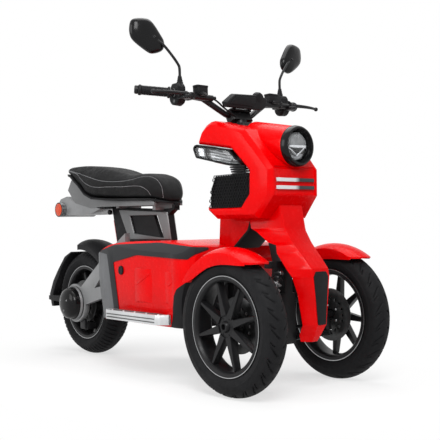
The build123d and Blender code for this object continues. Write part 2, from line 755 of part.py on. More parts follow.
with BuildPart() as side_grilles:
    with BuildSketch(flank_plane(FLANK_T - 5)):
        with BuildLine():
            Polyline(
                *on_flank([(1041, 738), (1121, 736), (1117, 764), (1205, 764), (1225, 745), (1221, 666),
                           (1178, 618), (1015, 618), (1019, 690)]),
                close=True,
            )
        make_face()
    extrude(amount=8)
    add(front_cowl.part, mode=Mode.SUBTRACT)
    mirror(about=Plane.XZ)
write(side_grilles, "side_grilles")

# ---------------------------------------------------------------- nose between the wheels
NOSE_WALL = 4.0
# height, then how far ahead and half width of the front edge and of the rear edge
nose_levels = [
    (627, 1294, 53, 1150, 72),
    (550, 1314, 48, 1178, 80),
    (538, 1318, 47, 1208, 82),
    (501, 1343, 45, 1268, 86),
    (492, 1351, 44, 1303, 83),
    (465, 1376, 42, 1311, 88),
    (412, 1424, 39, 1355, 88),
    (385, 1427, 41, 1375, 82),
    (329, 1427, 34, 1382, 66),
    (226, 1425, 23, 1387, 51),
    (190, 1406, 15, 1362, 42),
    (168, 1392, 12, 1362, 36),
]


def nose_loft(inset, back):
    with BuildPart() as form:
        for height, front, front_half, rear, rear_half in nose_levels:
            with BuildSketch(Plane(origin=(REAR_X, 0, height))):
                with BuildLine():
                    Polyline(
                        (reach(front) - inset, front_half - inset / 2), (reach(rear) - back, rear_half - inset),
                        (reach(rear) - back, -rear_half + inset), (reach(front) - inset, -front_half + inset / 2),
                        close=True,
                    )
                make_face()
        loft(ruled=True)
    return form


with BuildPart() as cowl_form:
    with BuildSketch(side_plane(0)):
        with BuildLine():
            Polyline(*cowl_outline, close=True)
        make_face()
    extrude(amount=260, both=True)

with BuildPart() as nose:
    add(nose_loft(0, 0).part)
    add(nose_loft(NOSE_WALL, 6).part, mode=Mode.SUBTRACT)
    add(cowl_form.part, mode=Mode.SUBTRACT)
write(nose, "nose")

with BuildPart() as nose_plate:
    with BuildSketch(Plane(origin=at(1420, 0, 0), x_dir=(0, 1, 0), z_dir=(1, 0, 0))):
        with BuildLine():
            FilletPolyline((-24, 402), (-35, 385), (-18, 226), (18, 226), (35, 385), (24, 402), radius=5, close=True)
        make_face()
    extrude(amount=8)
    add(nose_loft(0, 0).part, mode=Mode.SUBTRACT)
write(nose_plate, "nose_plate")

NECK_HALF = 62.0
with BuildPart() as neck_cover:
    with BuildSketch(side_plane(0)):
        with BuildLine():
            Polyline(*drawn([(980, 480), (991, 600), (1166, 600), (1150, 546), (1064, 480)]), close=True)
        make_face()
    extrude(amount=NECK_HALF, both=True)
    add(body_block(0).part, mode=Mode.SUBTRACT)
    add(cowl_form.part, mode=Mode.SUBTRACT)
    add(frame.part, mode=Mode.SUBTRACT)
    with BuildSketch(stem_plane(HEAD_BOTTOM + 60)):
        Circle(HEAD_TUBE_R)
    extrude(amount=120, mode=Mode.SUBTRACT)
write(neck_cover, "neck_cover")

# ---------------------------------------------------------------- seat and its carrier
POST_W = 14.0               # half width of the post
HINGE_AT = (640, 650)       # hinge of the seat
HINGE_PIN_R = 4.0
HINGE_EYE_R = 7.0
TONGUE_HALF = 7.0
EAR_GAP = 2.0
EAR_T = 5.0
ear_out = TONGUE_HALF + EAR_GAP + EAR_T
window = [(333, 620), (533, 616), (577, 523), (362, 545)]
slit = [(497, 616.5), (533, 616), (577, 523), (541, 526.2)]    # the open front part of the window
INSERT_HALF = 8.0           # half thickness of the post where the window is closed

with BuildPart() as seat_post:
    with BuildSketch(side_plane(0)):
        with BuildLine():
            Polyline(
                (188, 662), (590, 640), (631, 643), (649, 643), (604, 616), (636, 480), (232, 470), close=True
            )
        make_face()
        with BuildLine():
            Polyline(*slit, close=True)
        make_face(mode=Mode.SUBTRACT)
    extrude(amount=POST_W, both=True)
    # the rest of the window is set back on both sides
    for y in (-INSERT_HALF, POST_W):
        with BuildSketch(side_plane(y)):
            with BuildLine():
                Polyline(*window, close=True)
            make_face()
        extrude(amount=POST_W - INSERT_HALF, mode=Mode.SUBTRACT)
    add(body_block(0).part, mode=Mode.SUBTRACT)
    # two ears and the hinge pin between them
    with BuildSketch(side_plane(0)):
        with Locations(HINGE_AT):
            Circle(HINGE_EYE_R)
        with Locations((HINGE_AT[0], HINGE_AT[1] - 8)):
            Rectangle(2 * HINGE_EYE_R, 16)
    extrude(amount=ear_out, both=True)
    with BuildSketch(side_plane(0)):
        with Locations(HINGE_AT):
            Circle(HINGE_EYE_R + EAR_GAP)
    extrude(amount=ear_out - EAR_T, both=True, mode=Mode.SUBTRACT)
    with BuildSketch(side_plane(0)):
        with Locations(HINGE_AT):
            Circle(HINGE_PIN_R)
    extrude(amount=ear_out, both=True)
write(seat_post, "seat_post")

with BuildPart() as seat_post_trims:
    with BuildSketch(side_plane(-POST_W)):
        with BuildLine():
            Polyline((244, 652), (604, 629), (626, 514), (321, 517), close=True)
        make_face()
        with BuildLine():
            Polyline(*window, close=True)
        make_face(mode=Mode.SUBTRACT)
    extrude(amount=5, taper=30)
    mirror(about=Plane.XZ)
write(seat_post_trims, "seat_post_trims")

SEAT_HALF = 122.0
SEAT_BASE_T = 8.0
BASE_INSET = 7.0            # the cushion overhangs its base by this much
seat_under = [(-62, 816), (-20, 806), (50, 764), (108, 720), (170, 698), (283, 688), (569, 676), (650, 658)]
seat_plan = [(-104, 70), (-50, 104), (60, 117), (180, 118), (330, 107), (470, 95), (560, 90), (604, 66)]
SEAT_TAIL = -130.0
SEAT_NOSE = 650.0


def raised(points, height):
    return [(x, z + height) for x, z in points]


def seat_column(inset):
    """Upright column of the seat's outline from above, moved inwards by the inset."""
    left = [(x, y - inset) for x, y in seat_plan]
    right = [(x, -y) for x, y in left]
    with BuildPart() as column:
        with BuildSketch(Plane(origin=(REAR_X, 0, 600))):
            with BuildLine():
                Spline(*left)
                ThreePointArc(left[-1], (SEAT_NOSE - inset, 0), right[-1])
                Spline(*right)
                ThreePointArc(right[0], (SEAT_TAIL + inset, 0), left[0])
            make_face()
        extrude(amount=300)
    return column


with BuildPart() as seat:
    with BuildSketch(side_plane(0)):
        with BuildLine():
            Spline((-132, 824), (-112, 852), (65, 853), (247, 826), (386, 791), (500, 788), (572, 774))
            ThreePointArc((572, 774), (630, 724), (650, 658 + SEAT_BASE_T + GAP))
            Polyline(*reversed(raised(seat_under, SEAT_BASE_T + GAP)), (-132, 824))
        make_face()
    extrude(amount=SEAT_HALF, both=True)
    add(seat_column(0).part, mode=Mode.INTERSECT)
write(seat, "seat")

with BuildPart() as seat_base:
    with BuildSketch(side_plane(0)):
        with BuildLine():
            Polyline(*seat_under, *reversed(raised(seat_under, SEAT_BASE_T)), close=True)
        make_face()
    extrude(amount=SEAT_HALF, both=True)
    add(seat_column(BASE_INSET).part, mode=Mode.INTERSECT)
    # tongue that turns on the post's pin
    with BuildSketch(side_plane(0)):
        with Locations(HINGE_AT):
            Circle(HINGE_EYE_R)
        with Locations((HINGE_AT[0], HINGE_AT[1] + 7)):
            Rectangle(2 * HINGE_EYE_R, 14)
    extrude(amount=TONGUE_HALF, both=True)
    with BuildSketch(side_plane(0)):
        with Locations(HINGE_AT):
            Circle(HINGE_PIN_R + FIT)
    extrude(amount=TONGUE_HALF, both=True, mode=Mode.SUBTRACT)
write(seat_base, "seat_base")

RAIL_OUT = 72.0
RAIL_T = 14.0
SEAT_SEAM = 0.5
with BuildPart() as seat_rails:
    # rails under the seat, ending in the ribbed fin behind the pillion
    with BuildSketch(side_plane(RAIL_OUT)):
        with BuildLine():
            Polyline(
                (-26, 802), (-66, 796), (-98, 752), (-35, 690), (100, 662), (204, 664), (590, 655),
                (590, 668), *reversed(raised(seat_under[2:7], -SEAT_SEAM)), close=True,
            )
        make_face()
    extrude(amount=RAIL_T)
    mirror(about=Plane.XZ)
    # cross bars that stand on the post
    for x, low, high in ((60, 678, 690), (300, 654, 682), (570, 636, 668)):
        with BuildSketch(side_plane(0)):
            with Locations((x, (low + high) / 2)):
                Rectangle(20, high - low)
        extrude(amount=RAIL_OUT - RAIL_T + 1, both=True)
    add(seat_post.part, mode=Mode.SUBTRACT)
write(seat_rails, "seat_rails")

TAIL_HALF = 70.0
REFLECTOR_R = 34.0
REFLECTOR_OUT = 24.0        # how far the reflectors' cups stand out of the housing
REFLECTOR_AT = (-149, 664)
with BuildPart() as tail_housing:
    with BuildSketch(side_plane(0)):
        with BuildLine():
            Polyline(
                (-196, 690), (-170, 714), (-115, 724), (-60, 700), (98, 672), (178, 656), (90, 634),
                (-99, 636), (-180, 648), (-196, 664), close=True,
            )
        make_face()
    extrude(amount=TAIL_HALF, both=True)
    with BuildSketch(side_plane(0)):
        with Locations(REFLECTOR_AT):
            Circle(REFLECTOR_R)
    extrude(amount=TAIL_HALF + REFLECTOR_OUT, both=True)
    add(seat_rails.part, mode=Mode.SUBTRACT)
write(tail_housing, "tail_housing")

with BuildPart() as tail_lights:
    with BuildSketch(side_plane(-TAIL_HALF - REFLECTOR_OUT)):
        with Locations(REFLECTOR_AT):
            Circle(REFLECTOR_R - 3)
    extrude(amount=5)
    mirror(about=Plane.XZ)
    with BuildSketch(side_plane(0)):
        with Locations((-200, 677)):
            Rectangle(8, 22)
    extrude(amount=55, both=True)
write(tail_lights, "tail_lights")

# ---------------------------------------------------------------- rear suspension
HUGGER_HALF = REAR_TYRE_W / 2 + 13
ARM_IN = HUGGER_HALF + 4
ARM_T = 24.0
RING_R = 86.0
with BuildPart() as swingarm:
    with BuildSketch(side_plane(ARM_IN)):
        with BuildLine():
            Polyline(
                (10, 290), (51, 308), (250, 448), (420, 545), (420, 480), (232, 366), (173, 312), (120, 285), close=True
            )
        make_face()
        with BuildLine():
            Polyline(
                (0, 282), (114, 300), (240, 321), (420, 352), (420, 303), (262, 275), (75, 229), (20, 212), close=True
            )
        make_face()
        with Locations((0, REAR_TYRE_R)):
            Circle(RING_R)
    extrude(amount=-ARM_T)
    mirror(about=Plane.XZ)
    with BuildSketch(side_plane(0)):
        with Locations((312, 318)):
            Circle(20)
    extrude(amount=ARM_IN + 2, both=True)
    with BuildSketch(side_plane(0)):
        with Locations((0, REAR_TYRE_R)):
            Circle(REAR_AXLE_R)
    extrude(amount=ARM_IN + ARM_T, both=True, mode=Mode.SUBTRACT)
    add(body_block(0).part, mode=Mode.SUBTRACT)
write(swingarm, "swingarm")

with BuildPart() as rear_axle:
    with BuildSketch(side_plane(0)):
        with Locations((0, REAR_TYRE_R)):
            Circle(REAR_AXLE_R)
    extrude(amount=ARM_IN + ARM_T, both=True)
write(rear_axle, "rear_axle")

COVER_R = 77.0
COVER_DEPTH = 62.0
with BuildPart() as hub_covers:
    with BuildSketch(side_plane(-ARM_IN - ARM_T)):
        with Locations((0, REAR_TYRE_R)):
            Circle(COVER_R)
    extrude(amount=COVER_DEPTH, taper=12)
    fillet(edges().group_by(Axis.Y)[0], radius=26)
    mirror(about=Plane.XZ)
write(hub_covers, "hub_covers")

with BuildPart() as rear_caliper:
    with BuildSketch(side_plane(REAR_DISC_Y + CALIPER_SLOT / 2 + 8)):
        with Locations((40, REAR_TYRE_R - 102)):
            RectangleRounded(56, 32, 8)
    extrude(amount=ARM_IN + REAR_DISC_Y + CALIPER_SLOT / 2 + 8)
    with BuildSketch(side_plane(REAR_DISC_Y + CALIPER_SLOT / 2)):
        with Locations((0, REAR_TYRE_R)):
            Circle(REAR_DISC_R + 6)
    extrude(amount=CALIPER_SLOT, mode=Mode.SUBTRACT)
    # lug behind the swingarm's ring
    with BuildSketch(side_plane(-ARM_IN)):
        with Locations((40, REAR_TYRE_R - 94)):
            RectangleRounded(40, 44, 6)
    extrude(amount=10)
    add(swingarm.part, mode=Mode.SUBTRACT)
write(rear_caliper, "rear_caliper")

HUGGER_R = REAR_TYRE_R + 51
HUGGER_T = 4.0
hugger_foot = HUGGER_R - 47
hugger_edge = HUGGER_R - 25
hugger_inside = HUGGER_HALF - HUGGER_T
with BuildPart() as rear_mudguard:
    with BuildSketch(axle_plane(REAR_X, 0, REAR_TYRE_R)):
        with BuildLine():
            Line((-HUGGER_HALF, hugger_foot), (-HUGGER_HALF, hugger_edge))
            ThreePointArc((-HUGGER_HALF, hugger_edge), (0, HUGGER_R), (HUGGER_HALF, hugger_edge))
            Line((HUGGER_HALF, hugger_edge), (HUGGER_HALF, hugger_foot))
            Line((HUGGER_HALF, hugger_foot), (hugger_inside, hugger_foot))
            Line((hugger_inside, hugger_foot), (hugger_inside, hugger_edge - 2))
            ThreePointArc(
                (hugger_inside, hugger_edge - 2), (0, HUGGER_R - HUGGER_T), (-hugger_inside, hugger_edge - 2)
            )
            Line((-hugger_inside, hugger_edge - 2), (-hugger_inside, hugger_foot))
            Line((-hugger_inside, hugger_foot), (-HUGGER_HALF, hugger_foot))
        make_face()
    revolve(axis=Axis((REAR_X, 0, REAR_TYRE_R), (0, 1, 0)))
    with BuildSketch(side_plane(0)):
        with BuildLine():
            Polyline((-20, 236), (-20, 600), (400, 600), (400, 380), close=True)
        make_face()
    extrude(amount=100, both=True, mode=Mode.INTERSECT)
    # bosses that bolt it between the swingarm's upper arms
    with BuildSketch(side_plane(-HUGGER_HALF + 2)):
        with Locations((195, 392)):
            Circle(9)
    extrude(amount=ARM_IN - HUGGER_HALF + 2)
    with BuildSketch(side_plane(ARM_IN)):
        with Locations((195, 392)):
            Circle(9)
    extrude(amount=ARM_IN - HUGGER_HALF + 2)
write(rear_mudguard, "rear_mudguard")

PLATE_SPACING = 100.0
PLATE_HOLE_R = 3.5
GUARD_HALF = 64.0
TYRE_GAP = 7.0
guard_outside = [(-96, 466), (-155, 443), (-223, 378), (-270, 326), (-REAR_REACH, 262), (-288, 205)]
guard_inside = [(-266, 205), (-276, 258), (-246, 312), (-203, 362), (-146, 420), (-92, 448)]
plate_run = Vector(-47, 0, -52).normalized()
plate_normal = Vector(plate_run.Z, 0, -plate_run.X)
plate_plane = Plane(
    origin=Vector(*at(-223, 0, 378)) + plate_run * 35, x_dir=(0, 1, 0), z_dir=plate_normal
)
with BuildPart() as splash_guard:
    with BuildSketch(side_plane(0)):
        with BuildLine():
            Polyline(*guard_outside, *guard_inside, close=True)
        make_face()
    extrude(amount=GUARD_HALF, both=True)
    # cross piece behind the tyre and the stays from the swingarm's rings
    with BuildSketch(side_plane(0)):
        with Locations((-269, 247)):
            Rectangle(34, 20)
    extrude(amount=HUGGER_HALF + 6, both=True)
    with BuildSketch(side_plane(0)):
        with Locations((0, REAR_TYRE_R)):
            Circle(REAR_TYRE_R + TYRE_GAP)
    extrude(amount=HUGGER_HALF + 10, both=True, mode=Mode.SUBTRACT)
    for side in (HUGGER_HALF + 6, -HUGGER_HALF):
        with BuildSketch(side_plane(side)):
            with BuildLine():
                Polyline((-84, 222), (-286, 237), (-286, 257), (-84, 262), close=True)
            make_face()
        extrude(amount=6)
    add(swingarm.part, mode=Mode.SUBTRACT)
    # two holes for a number plate in the sloping back
    with BuildSketch(plate_plane):
        with GridLocations(PLATE_SPACING, 1, 2, 1):
            Circle(PLATE_HOLE_R)
    extrude(amount=20, both=True, mode=Mode.SUBTRACT)
write(splash_guard, "splash_guard")

# ---------------------------------------------------------------- steering
with BuildPart() as stem:
    with BuildSketch(stem_plane(HEAD_BOTTOM + 20)):
        Circle(STEM_R)
    extrude(amount=HEAD_BOTTOM + 20)
write(stem, "steering_stem")

BAR_R = 11.0
bar_points = [
    at(940, 381, 1041), at(1000, 283, 1031), at(1012, 150, 1020), at(1032, 56, 965),
    at(1032, -56, 965), at(1012, -150, 1020), at(1000, -283, 1031), at(940, -381, 1041),
]
with BuildPart() as handlebar:
    with BuildLine():
        bar_line = FilletPolyline(*bar_points, radius=28)
    with BuildSketch(Plane(origin=bar_line @ 0, z_dir=bar_line % 0)):
        Circle(BAR_R)
    sweep()
write(handlebar, "handlebar")

CLAMP_T = 34.0
with BuildPart() as bar_clamp:
    with BuildSketch(stem_plane(HEAD_TOP - 26)):
        RectangleRounded(76, 60, 12)
    extrude(amount=22)
    with BuildSketch(stem_plane(HEAD_TOP - 22)):
        Circle(24)
    extrude(amount=HEAD_TOP - 22)
    with BuildSketch(stem_plane(0)):
        RectangleRounded(44, 96, 10)
    extrude(amount=CLAMP_T + 12)
    add(stem.part, mode=Mode.SUBTRACT)
    add(handlebar.part, mode=Mode.SUBTRACT)
write(bar_clamp, "bar_clamp")

GRIP_R = 16.5
grip_in = Vector(*at(1000, 283, 1031))
grip_out = Vector(*at(940, 381, 1041))
grip_run = grip_out - grip_in
with BuildPart() as grips:
    with BuildSketch(Plane(origin=grip_in + grip_run * 0.06, z_dir=grip_run)):
        Circle(GRIP_R)
    extrude(amount=grip_run.length * 0.94 + 6)
    with BuildSketch(Plane(origin=grip_in + grip_run * 0.02, z_dir=grip_run)):
        Circle(GRIP_R + 4)
    extrude(amount=6)
    add(handlebar.part, mode=Mode.SUBTRACT)
    mirror(about=Plane.XZ)
write(grips, "grips")

HOUSING = (40.0, 38.0, 81.0)        # switch housing: along the machine, along the bar, height
HOUSING_AT = (1003, 252, 1024.5)
LEVER_Y = 258.0
BOSS_TOP = 1093.0
with BuildPart() as controls:
    with BuildSketch(side_plane(HOUSING_AT[1])):
        with Locations((reach(HOUSING_AT[0]), HOUSING_AT[2])):
            RectangleRounded(HOUSING[0], HOUSING[2], 17)
    extrude(amount=HOUSING[1] / 2, both=True)
    # master cylinder with its reservoir, and the lever's pivot lug
    with BuildSketch(Plane(origin=at(1032, 262, 1020), x_dir=(1, 0, 0), z_dir=(0, -1, 0))):
        Circle(11)
    extrude(amount=143)
    with BuildSketch(Plane(origin=at(1030, 174, 1028))):
        Rectangle(30, 44)
    extrude(amount=34)
    with BuildSketch(Plane(origin=at(1043, LEVER_Y, 1004))):
        RectangleRounded(48, 28, 8)
    extrude(amount=10)
    # mirror boss
    with BuildSketch(Plane(origin=at(1004, 244, 1058))):
        Circle(11)
    extrude(amount=BOSS_TOP - 1058)
    add(handlebar.part, mode=Mode.SUBTRACT)
    mirror(about=Plane.XZ)
write(controls, "controls")

with BuildPart() as brake_levers:
    with BuildLine():
        lever_line = FilletPolyline(
            at(1057, LEVER_Y, 1021), at(1062, 330, 1020), at(1052, 392, 1018), radius=60
        )
    with BuildSketch(Plane(origin=lever_line @ 0, z_dir=lever_line % 0)):
        Circle(5)
    sweep()
    with Locations(at(1052, 394, 1018)):
        Sphere(8)
    with BuildSketch(Plane(origin=at(1057, LEVER_Y, 1014 + GAP))):
        Circle(11)
    extrude(amount=12)
    mirror(about=Plane.XZ)
write(brake_levers, "brake_levers")

with BuildPart() as display:
    display_plane = Plane(origin=at(1092, 0, 1006), x_dir=(0, 1, 0), z_dir=(1, 0, -0.2))
    with BuildSketch(display_plane):
        with BuildLine():
            FilletPolyline(
                (-104, -4), (-63, 30), (60, 36), (94, 26), (94, -6), (70, -21), (-90, -21),
                radius=5, close=True,
            )
        make_face()
        with Locations((56, 24)):
            Circle(22)
    extrude(amount=-34)
    for side in (-34, 34):
        with BuildSketch(Plane(origin=at(1040, side, 979 + GAP), z_dir=(0.9, 0, 1))):
            Circle(6)
        extrude(amount=52)
    add(handlebar.part, mode=Mode.SUBTRACT)
    add(bar_clamp.part, mode=Mode.SUBTRACT)
write(display, "display")

MIRROR_TURN = 10.6
MIRROR_SHIFT = (-8, 2)
mirror_centre = at(962, 354, 1238)
mirror_plane = Plane(
    origin=mirror_centre,
    x_dir=(0.1, 0.78, 0.62),
    z_dir=(-math.cos(math.radians(MIRROR_TURN)), -math.sin(math.radians(MIRROR_TURN)), 0),
)
with BuildPart() as mirrors:
    with BuildLine():
        arm_line = FilletPolyline(
            at(1004, 244, BOSS_TOP + 0.7), at(1004, 243, 1124), at(990, 299, 1200), at(974, 338, 1226), radius=14
        )
    with BuildSketch(Plane(origin=arm_line @ 0, z_dir=arm_line % 0)):
        Circle(5)
    sweep()
    with BuildSketch(mirror_plane.offset(-14)):
        with Locations(MIRROR_SHIFT):
            RectangleRounded(134, 84, 38)
    with BuildSketch(mirror_plane.offset(4)):
        with Locations(MIRROR_SHIFT):
            RectangleRounded(156, 104, 46)
    loft()
    with BuildSketch(mirror_plane.offset(4)):
        with Locations(MIRROR_SHIFT):
            RectangleRounded(156, 104, 46)
    extrude(amount=8)
    mirror(about=Plane.XZ)
write(mirrors, "mirrors")

HOSE_R = 3.5
hose_points = [
    at(1032, 118, 1020), at(1040, 104, 1010), at(1046, 86, 992), at(1056, 66, 974), at(1064, 48, 962),
    at(1058, 30, 955),
]
with BuildPart() as brake_hoses:
    with BuildLine():
        hose_line = FilletPolyline(*hose_points, radius=22)
    with BuildSketch(Plane(origin=hose_line @ 0, z_dir=hose_line % 0)):
        Circle(HOSE_R)
    sweep()
    add(bar_clamp.part, mode=Mode.SUBTRACT)
    add(controls.part, mode=Mode.SUBTRACT)
    mirror(about=Plane.XZ)
write(brake_hoses, "brake_hoses")
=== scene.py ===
"""Looks of the electric motor scooter: finishes for its CAD parts and detailed pieces round them.

Shapes are drawn in millimetres: x ahead of the rear axle, y to the rider's left, z up.
place_piece() turns them into metres in the CAD frame.
"""
import json
import math

import bmesh
import bpy
from mathutils import Matrix, Vector
from mathutils.bvhtree import BVHTree
from mathutils.kdtree import KDTree


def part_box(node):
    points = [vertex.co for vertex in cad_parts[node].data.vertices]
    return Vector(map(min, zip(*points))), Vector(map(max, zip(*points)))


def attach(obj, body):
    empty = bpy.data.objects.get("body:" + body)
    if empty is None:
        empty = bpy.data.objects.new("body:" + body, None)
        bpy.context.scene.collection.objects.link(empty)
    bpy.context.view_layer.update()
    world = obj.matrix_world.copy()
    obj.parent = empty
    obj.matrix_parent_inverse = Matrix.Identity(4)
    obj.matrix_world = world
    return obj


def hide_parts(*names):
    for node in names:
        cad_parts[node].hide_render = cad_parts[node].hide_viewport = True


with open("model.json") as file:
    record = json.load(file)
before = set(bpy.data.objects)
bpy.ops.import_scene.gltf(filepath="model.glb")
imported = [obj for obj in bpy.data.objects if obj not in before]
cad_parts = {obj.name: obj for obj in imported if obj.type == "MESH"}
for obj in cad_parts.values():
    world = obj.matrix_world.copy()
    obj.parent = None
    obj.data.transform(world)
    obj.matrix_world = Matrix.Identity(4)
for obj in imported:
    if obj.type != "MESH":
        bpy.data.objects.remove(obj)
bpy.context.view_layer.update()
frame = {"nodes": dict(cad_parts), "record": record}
nodes = frame["nodes"]

bl_info = {
    "name": "Electric motor scooter",
    "version": (1, 0, 0),
    "blender": (4, 5, 0),
    "location": "View3D > Sidebar > Scooter",
    "description": "Builds the looks of a three-wheeled electric motor scooter round its CAD model",
    "category": "Object",
}

rear_x = sum(corner.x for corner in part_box("rear_axle")) / 2
TO_FRAME = Matrix.Translation((rear_x, 0, 0)) @ Matrix.Scale(0.001, 4)


def cad_mm(node):
    """Lowest and highest corner of a CAD part in the drawing's millimetres."""
    return [TO_FRAME.inverted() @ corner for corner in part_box(node)]


def cad_middle(node):
    low, high = cad_mm(node)
    return (low + high) / 2


# ---------------------------------------------------------------- materials
def new_material(name, colour, roughness, metallic=0.0, coat=0.0, shine=0.12):
    """A principled material, its node tree and its shader."""
    material = bpy.data.materials.new(name)
    material.use_nodes = True
    tree = material.node_tree
    shader = tree.nodes["Principled BSDF"]
    shader.inputs["Base Color"].default_value = (*colour, 1)
    shader.inputs["Roughness"].default_value = roughness
    shader.inputs["Metallic"].default_value = metallic
    shader.inputs["Coat Weight"].default_value = coat
    shader.inputs["Coat Roughness"].default_value = 0.04
    shader.inputs["Specular IOR Level"].default_value = shine
    return material, tree, shader


def object_coords(tree):
    return tree.nodes.new("ShaderNodeTexCoord").outputs["Object"]


def noise(tree, scale, detail=3.0, stretch=None):
    node = tree.nodes.new("ShaderNodeTexNoise")
    node.inputs["Scale"].default_value = scale
    node.inputs["Detail"].default_value = detail
    coords = object_coords(tree)
    if stretch:
        mapping = tree.nodes.new("ShaderNodeMapping")
        mapping.inputs["Scale"].default_value = stretch
        tree.links.new(coords, mapping.inputs["Vector"])
        coords = mapping.outputs["Vector"]
    tree.links.new(coords, node.inputs["Vector"])
    return node.outputs["Fac"]


def remap(tree, value, low, high, start=0.3, end=0.7):
    node = tree.nodes.new("ShaderNodeMapRange")
    node.inputs["From Min"].default_value = start
    node.inputs["From Max"].default_value = end
    node.inputs["To Min"].default_value = low
    node.inputs["To Max"].default_value = high
    tree.links.new(value, node.inputs["Value"])
    return node.outputs["Result"]


def mottle(tree, shader, value, dark, light):
    """Lets the base colour wander between two close tones."""
    ramp = tree.nodes.new("ShaderNodeValToRGB")
    ramp.color_ramp.elements[0].position = 0.3
    ramp.color_ramp.elements[1].position = 0.7
    ramp.color_ramp.elements[0].color = (*dark, 1)
    ramp.color_ramp.elements[1].color = (*light, 1)
    tree.links.new(value, ramp.inputs["Fac"])
    tree.links.new(ramp.outputs["Color"], shader.inputs["Base Color"])


def bump(tree, shader, height, distance, strength=1.0):
    node = tree.nodes.new("ShaderNodeBump")
    node.inputs["Distance"].default_value = distance
    node.inputs["Strength"].default_value = strength
    tree.links.new(height, node.inputs["Height"])
    tree.links.new(node.outputs["Normal"], shader.inputs["Normal"])


def plain_finish(
    name, dark, light, rough, metallic=0.0, coat=0.0, grain=900.0, depth=0.00003, stretch=None, shine=0.12,
):
    """Paint, moulded plastic or cast metal: two close tones, uneven gloss and a fine grain."""
    material, tree, shader = new_material(name, light, rough[0], metallic, coat, shine)
    mottle(tree, shader, noise(tree, 9.0), dark, light)
    tree.links.new(remap(tree, noise(tree, 60.0), *rough), shader.inputs["Roughness"])
    bump(tree, shader, noise(tree, grain, stretch=stretch), depth)
    return material


def seat_leather():
    material, tree, shader = new_material("seat_leather", (0.02, 0.02, 0.022), 0.5, shine=0.1)
    mottle(tree, shader, noise(tree, 14.0), (0.007, 0.007, 0.0075), (0.012, 0.012, 0.0125))
    tree.links.new(remap(tree, noise(tree, 45.0), 0.48, 0.64), shader.inputs["Roughness"])
    cells = tree.nodes.new("ShaderNodeTexVoronoi")
    cells.feature = "DISTANCE_TO_EDGE"
    cells.inputs["Scale"].default_value = 420.0
    tree.links.new(object_coords(tree), cells.inputs["Vector"])
    bump(tree, shader, remap(tree, cells.outputs["Distance"], 0, 1, 0.0, 0.25), 0.00025, 0.8)
    return material


def clear_glass():
    material, tree, shader = new_material("clear_glass", (0.95, 0.96, 0.97), 0.03)
    shader.inputs["Transmission Weight"].default_value = 1.0
    shader.inputs["IOR"].default_value = 1.45
    bump(tree, shader, noise(tree, 120.0), 0.00001)
    return material


def beyond_line(tree, line, x_span, z_span):
    """1 where a place lies ahead of a line of (height, station) points in millimetres, else 0."""
    place = tree.nodes.new("ShaderNodeSeparateXYZ")
    tree.links.new(object_coords(tree), place.inputs[0])
    height = remap(tree, place.outputs["Z"], 0, 1, z_span[0] / 1000, z_span[1] / 1000)
    curve = tree.nodes.new("ShaderNodeFloatCurve")
    points = curve.mapping.curves[0].points
    while len(points) < len(line):
        points.new(0.5, 0.5)
    for point, (z, x) in zip(points, line):
        point.location = (
            (z - z_span[0]) / (z_span[1] - z_span[0]), (x - x_span[0]) / (x_span[1] - x_span[0])
        )
        point.handle_type = "VECTOR"
    curve.mapping.update()
    tree.links.new(height, curve.inputs["Value"])
    edge = remap(tree, curve.outputs[0], rear_x + x_span[0] / 1000, rear_x + x_span[1] / 1000, 0, 1)
    ahead = tree.nodes.new("ShaderNodeMath")
    ahead.operation = "GREATER_THAN"
    tree.links.new(place.outputs["X"], ahead.inputs[0])
    tree.links.new(edge, ahead.inputs[1])
    return ahead.outputs[0]


def two_finishes(material, line, x_span, z_span, colour, roughness, metallic):
    """Gives what lies ahead of a line a second, plainer finish."""
    tree = material.node_tree
    first = tree.nodes["Principled BSDF"]
    second = tree.nodes.new("ShaderNodeBsdfPrincipled")
    second.inputs["Base Color"].default_value = (*colour, 1)
    second.inputs["Roughness"].default_value = roughness
    second.inputs["Metallic"].default_value = metallic
    second.inputs["Specular IOR Level"].default_value = 0.12
    mix = tree.nodes.new("ShaderNodeMixShader")
    tree.links.new(beyond_line(tree, line, x_span, z_span), mix.inputs[0])
    tree.links.new(first.outputs[0], mix.inputs[1])
    tree.links.new(second.outputs[0], mix.inputs[2])
    tree.links.new(mix.outputs[0], tree.nodes["Material Output"].inputs["Surface"])
    return material


# (height, station) lines at which a part changes its finish
LINER_EDGE = (
    (200, 892), (238, 905), (274, 909), (315, 917), (339, 935), (365, 982), (390, 1040), (420, 1090), (500, 1100),
)
NECK_EDGE = ((480, 1052), (546, 1138), (600, 1160))
TRIM_EDGE = ((200, 493), (229, 486), (438, 436), (462, 428), (474, 330), (500, 300))


def led_strip():
    """Clear strip lamp: its half towards -y is painted pale as a painted reflection of a light, its other half dark.
    """
    material, tree, shader = new_material("led_strip", (0.8, 0.8, 0.8), 0.15, coat=0.3)
    place = tree.nodes.new("ShaderNodeSeparateXYZ")
    tree.links.new(object_coords(tree), place.inputs[0])
    # painted reflection: the colour runs from pale towards -y to dark towards +y, by place alone
    painted_reflection = remap(tree, place.outputs["Y"], 1, 0, -0.02, 0.035)
    mottle(tree, shader, painted_reflection, (0.03, 0.03, 0.034), (0.62, 0.62, 0.63))
    bump(tree, shader, noise(tree, 300.0), 0.00004)
    return material


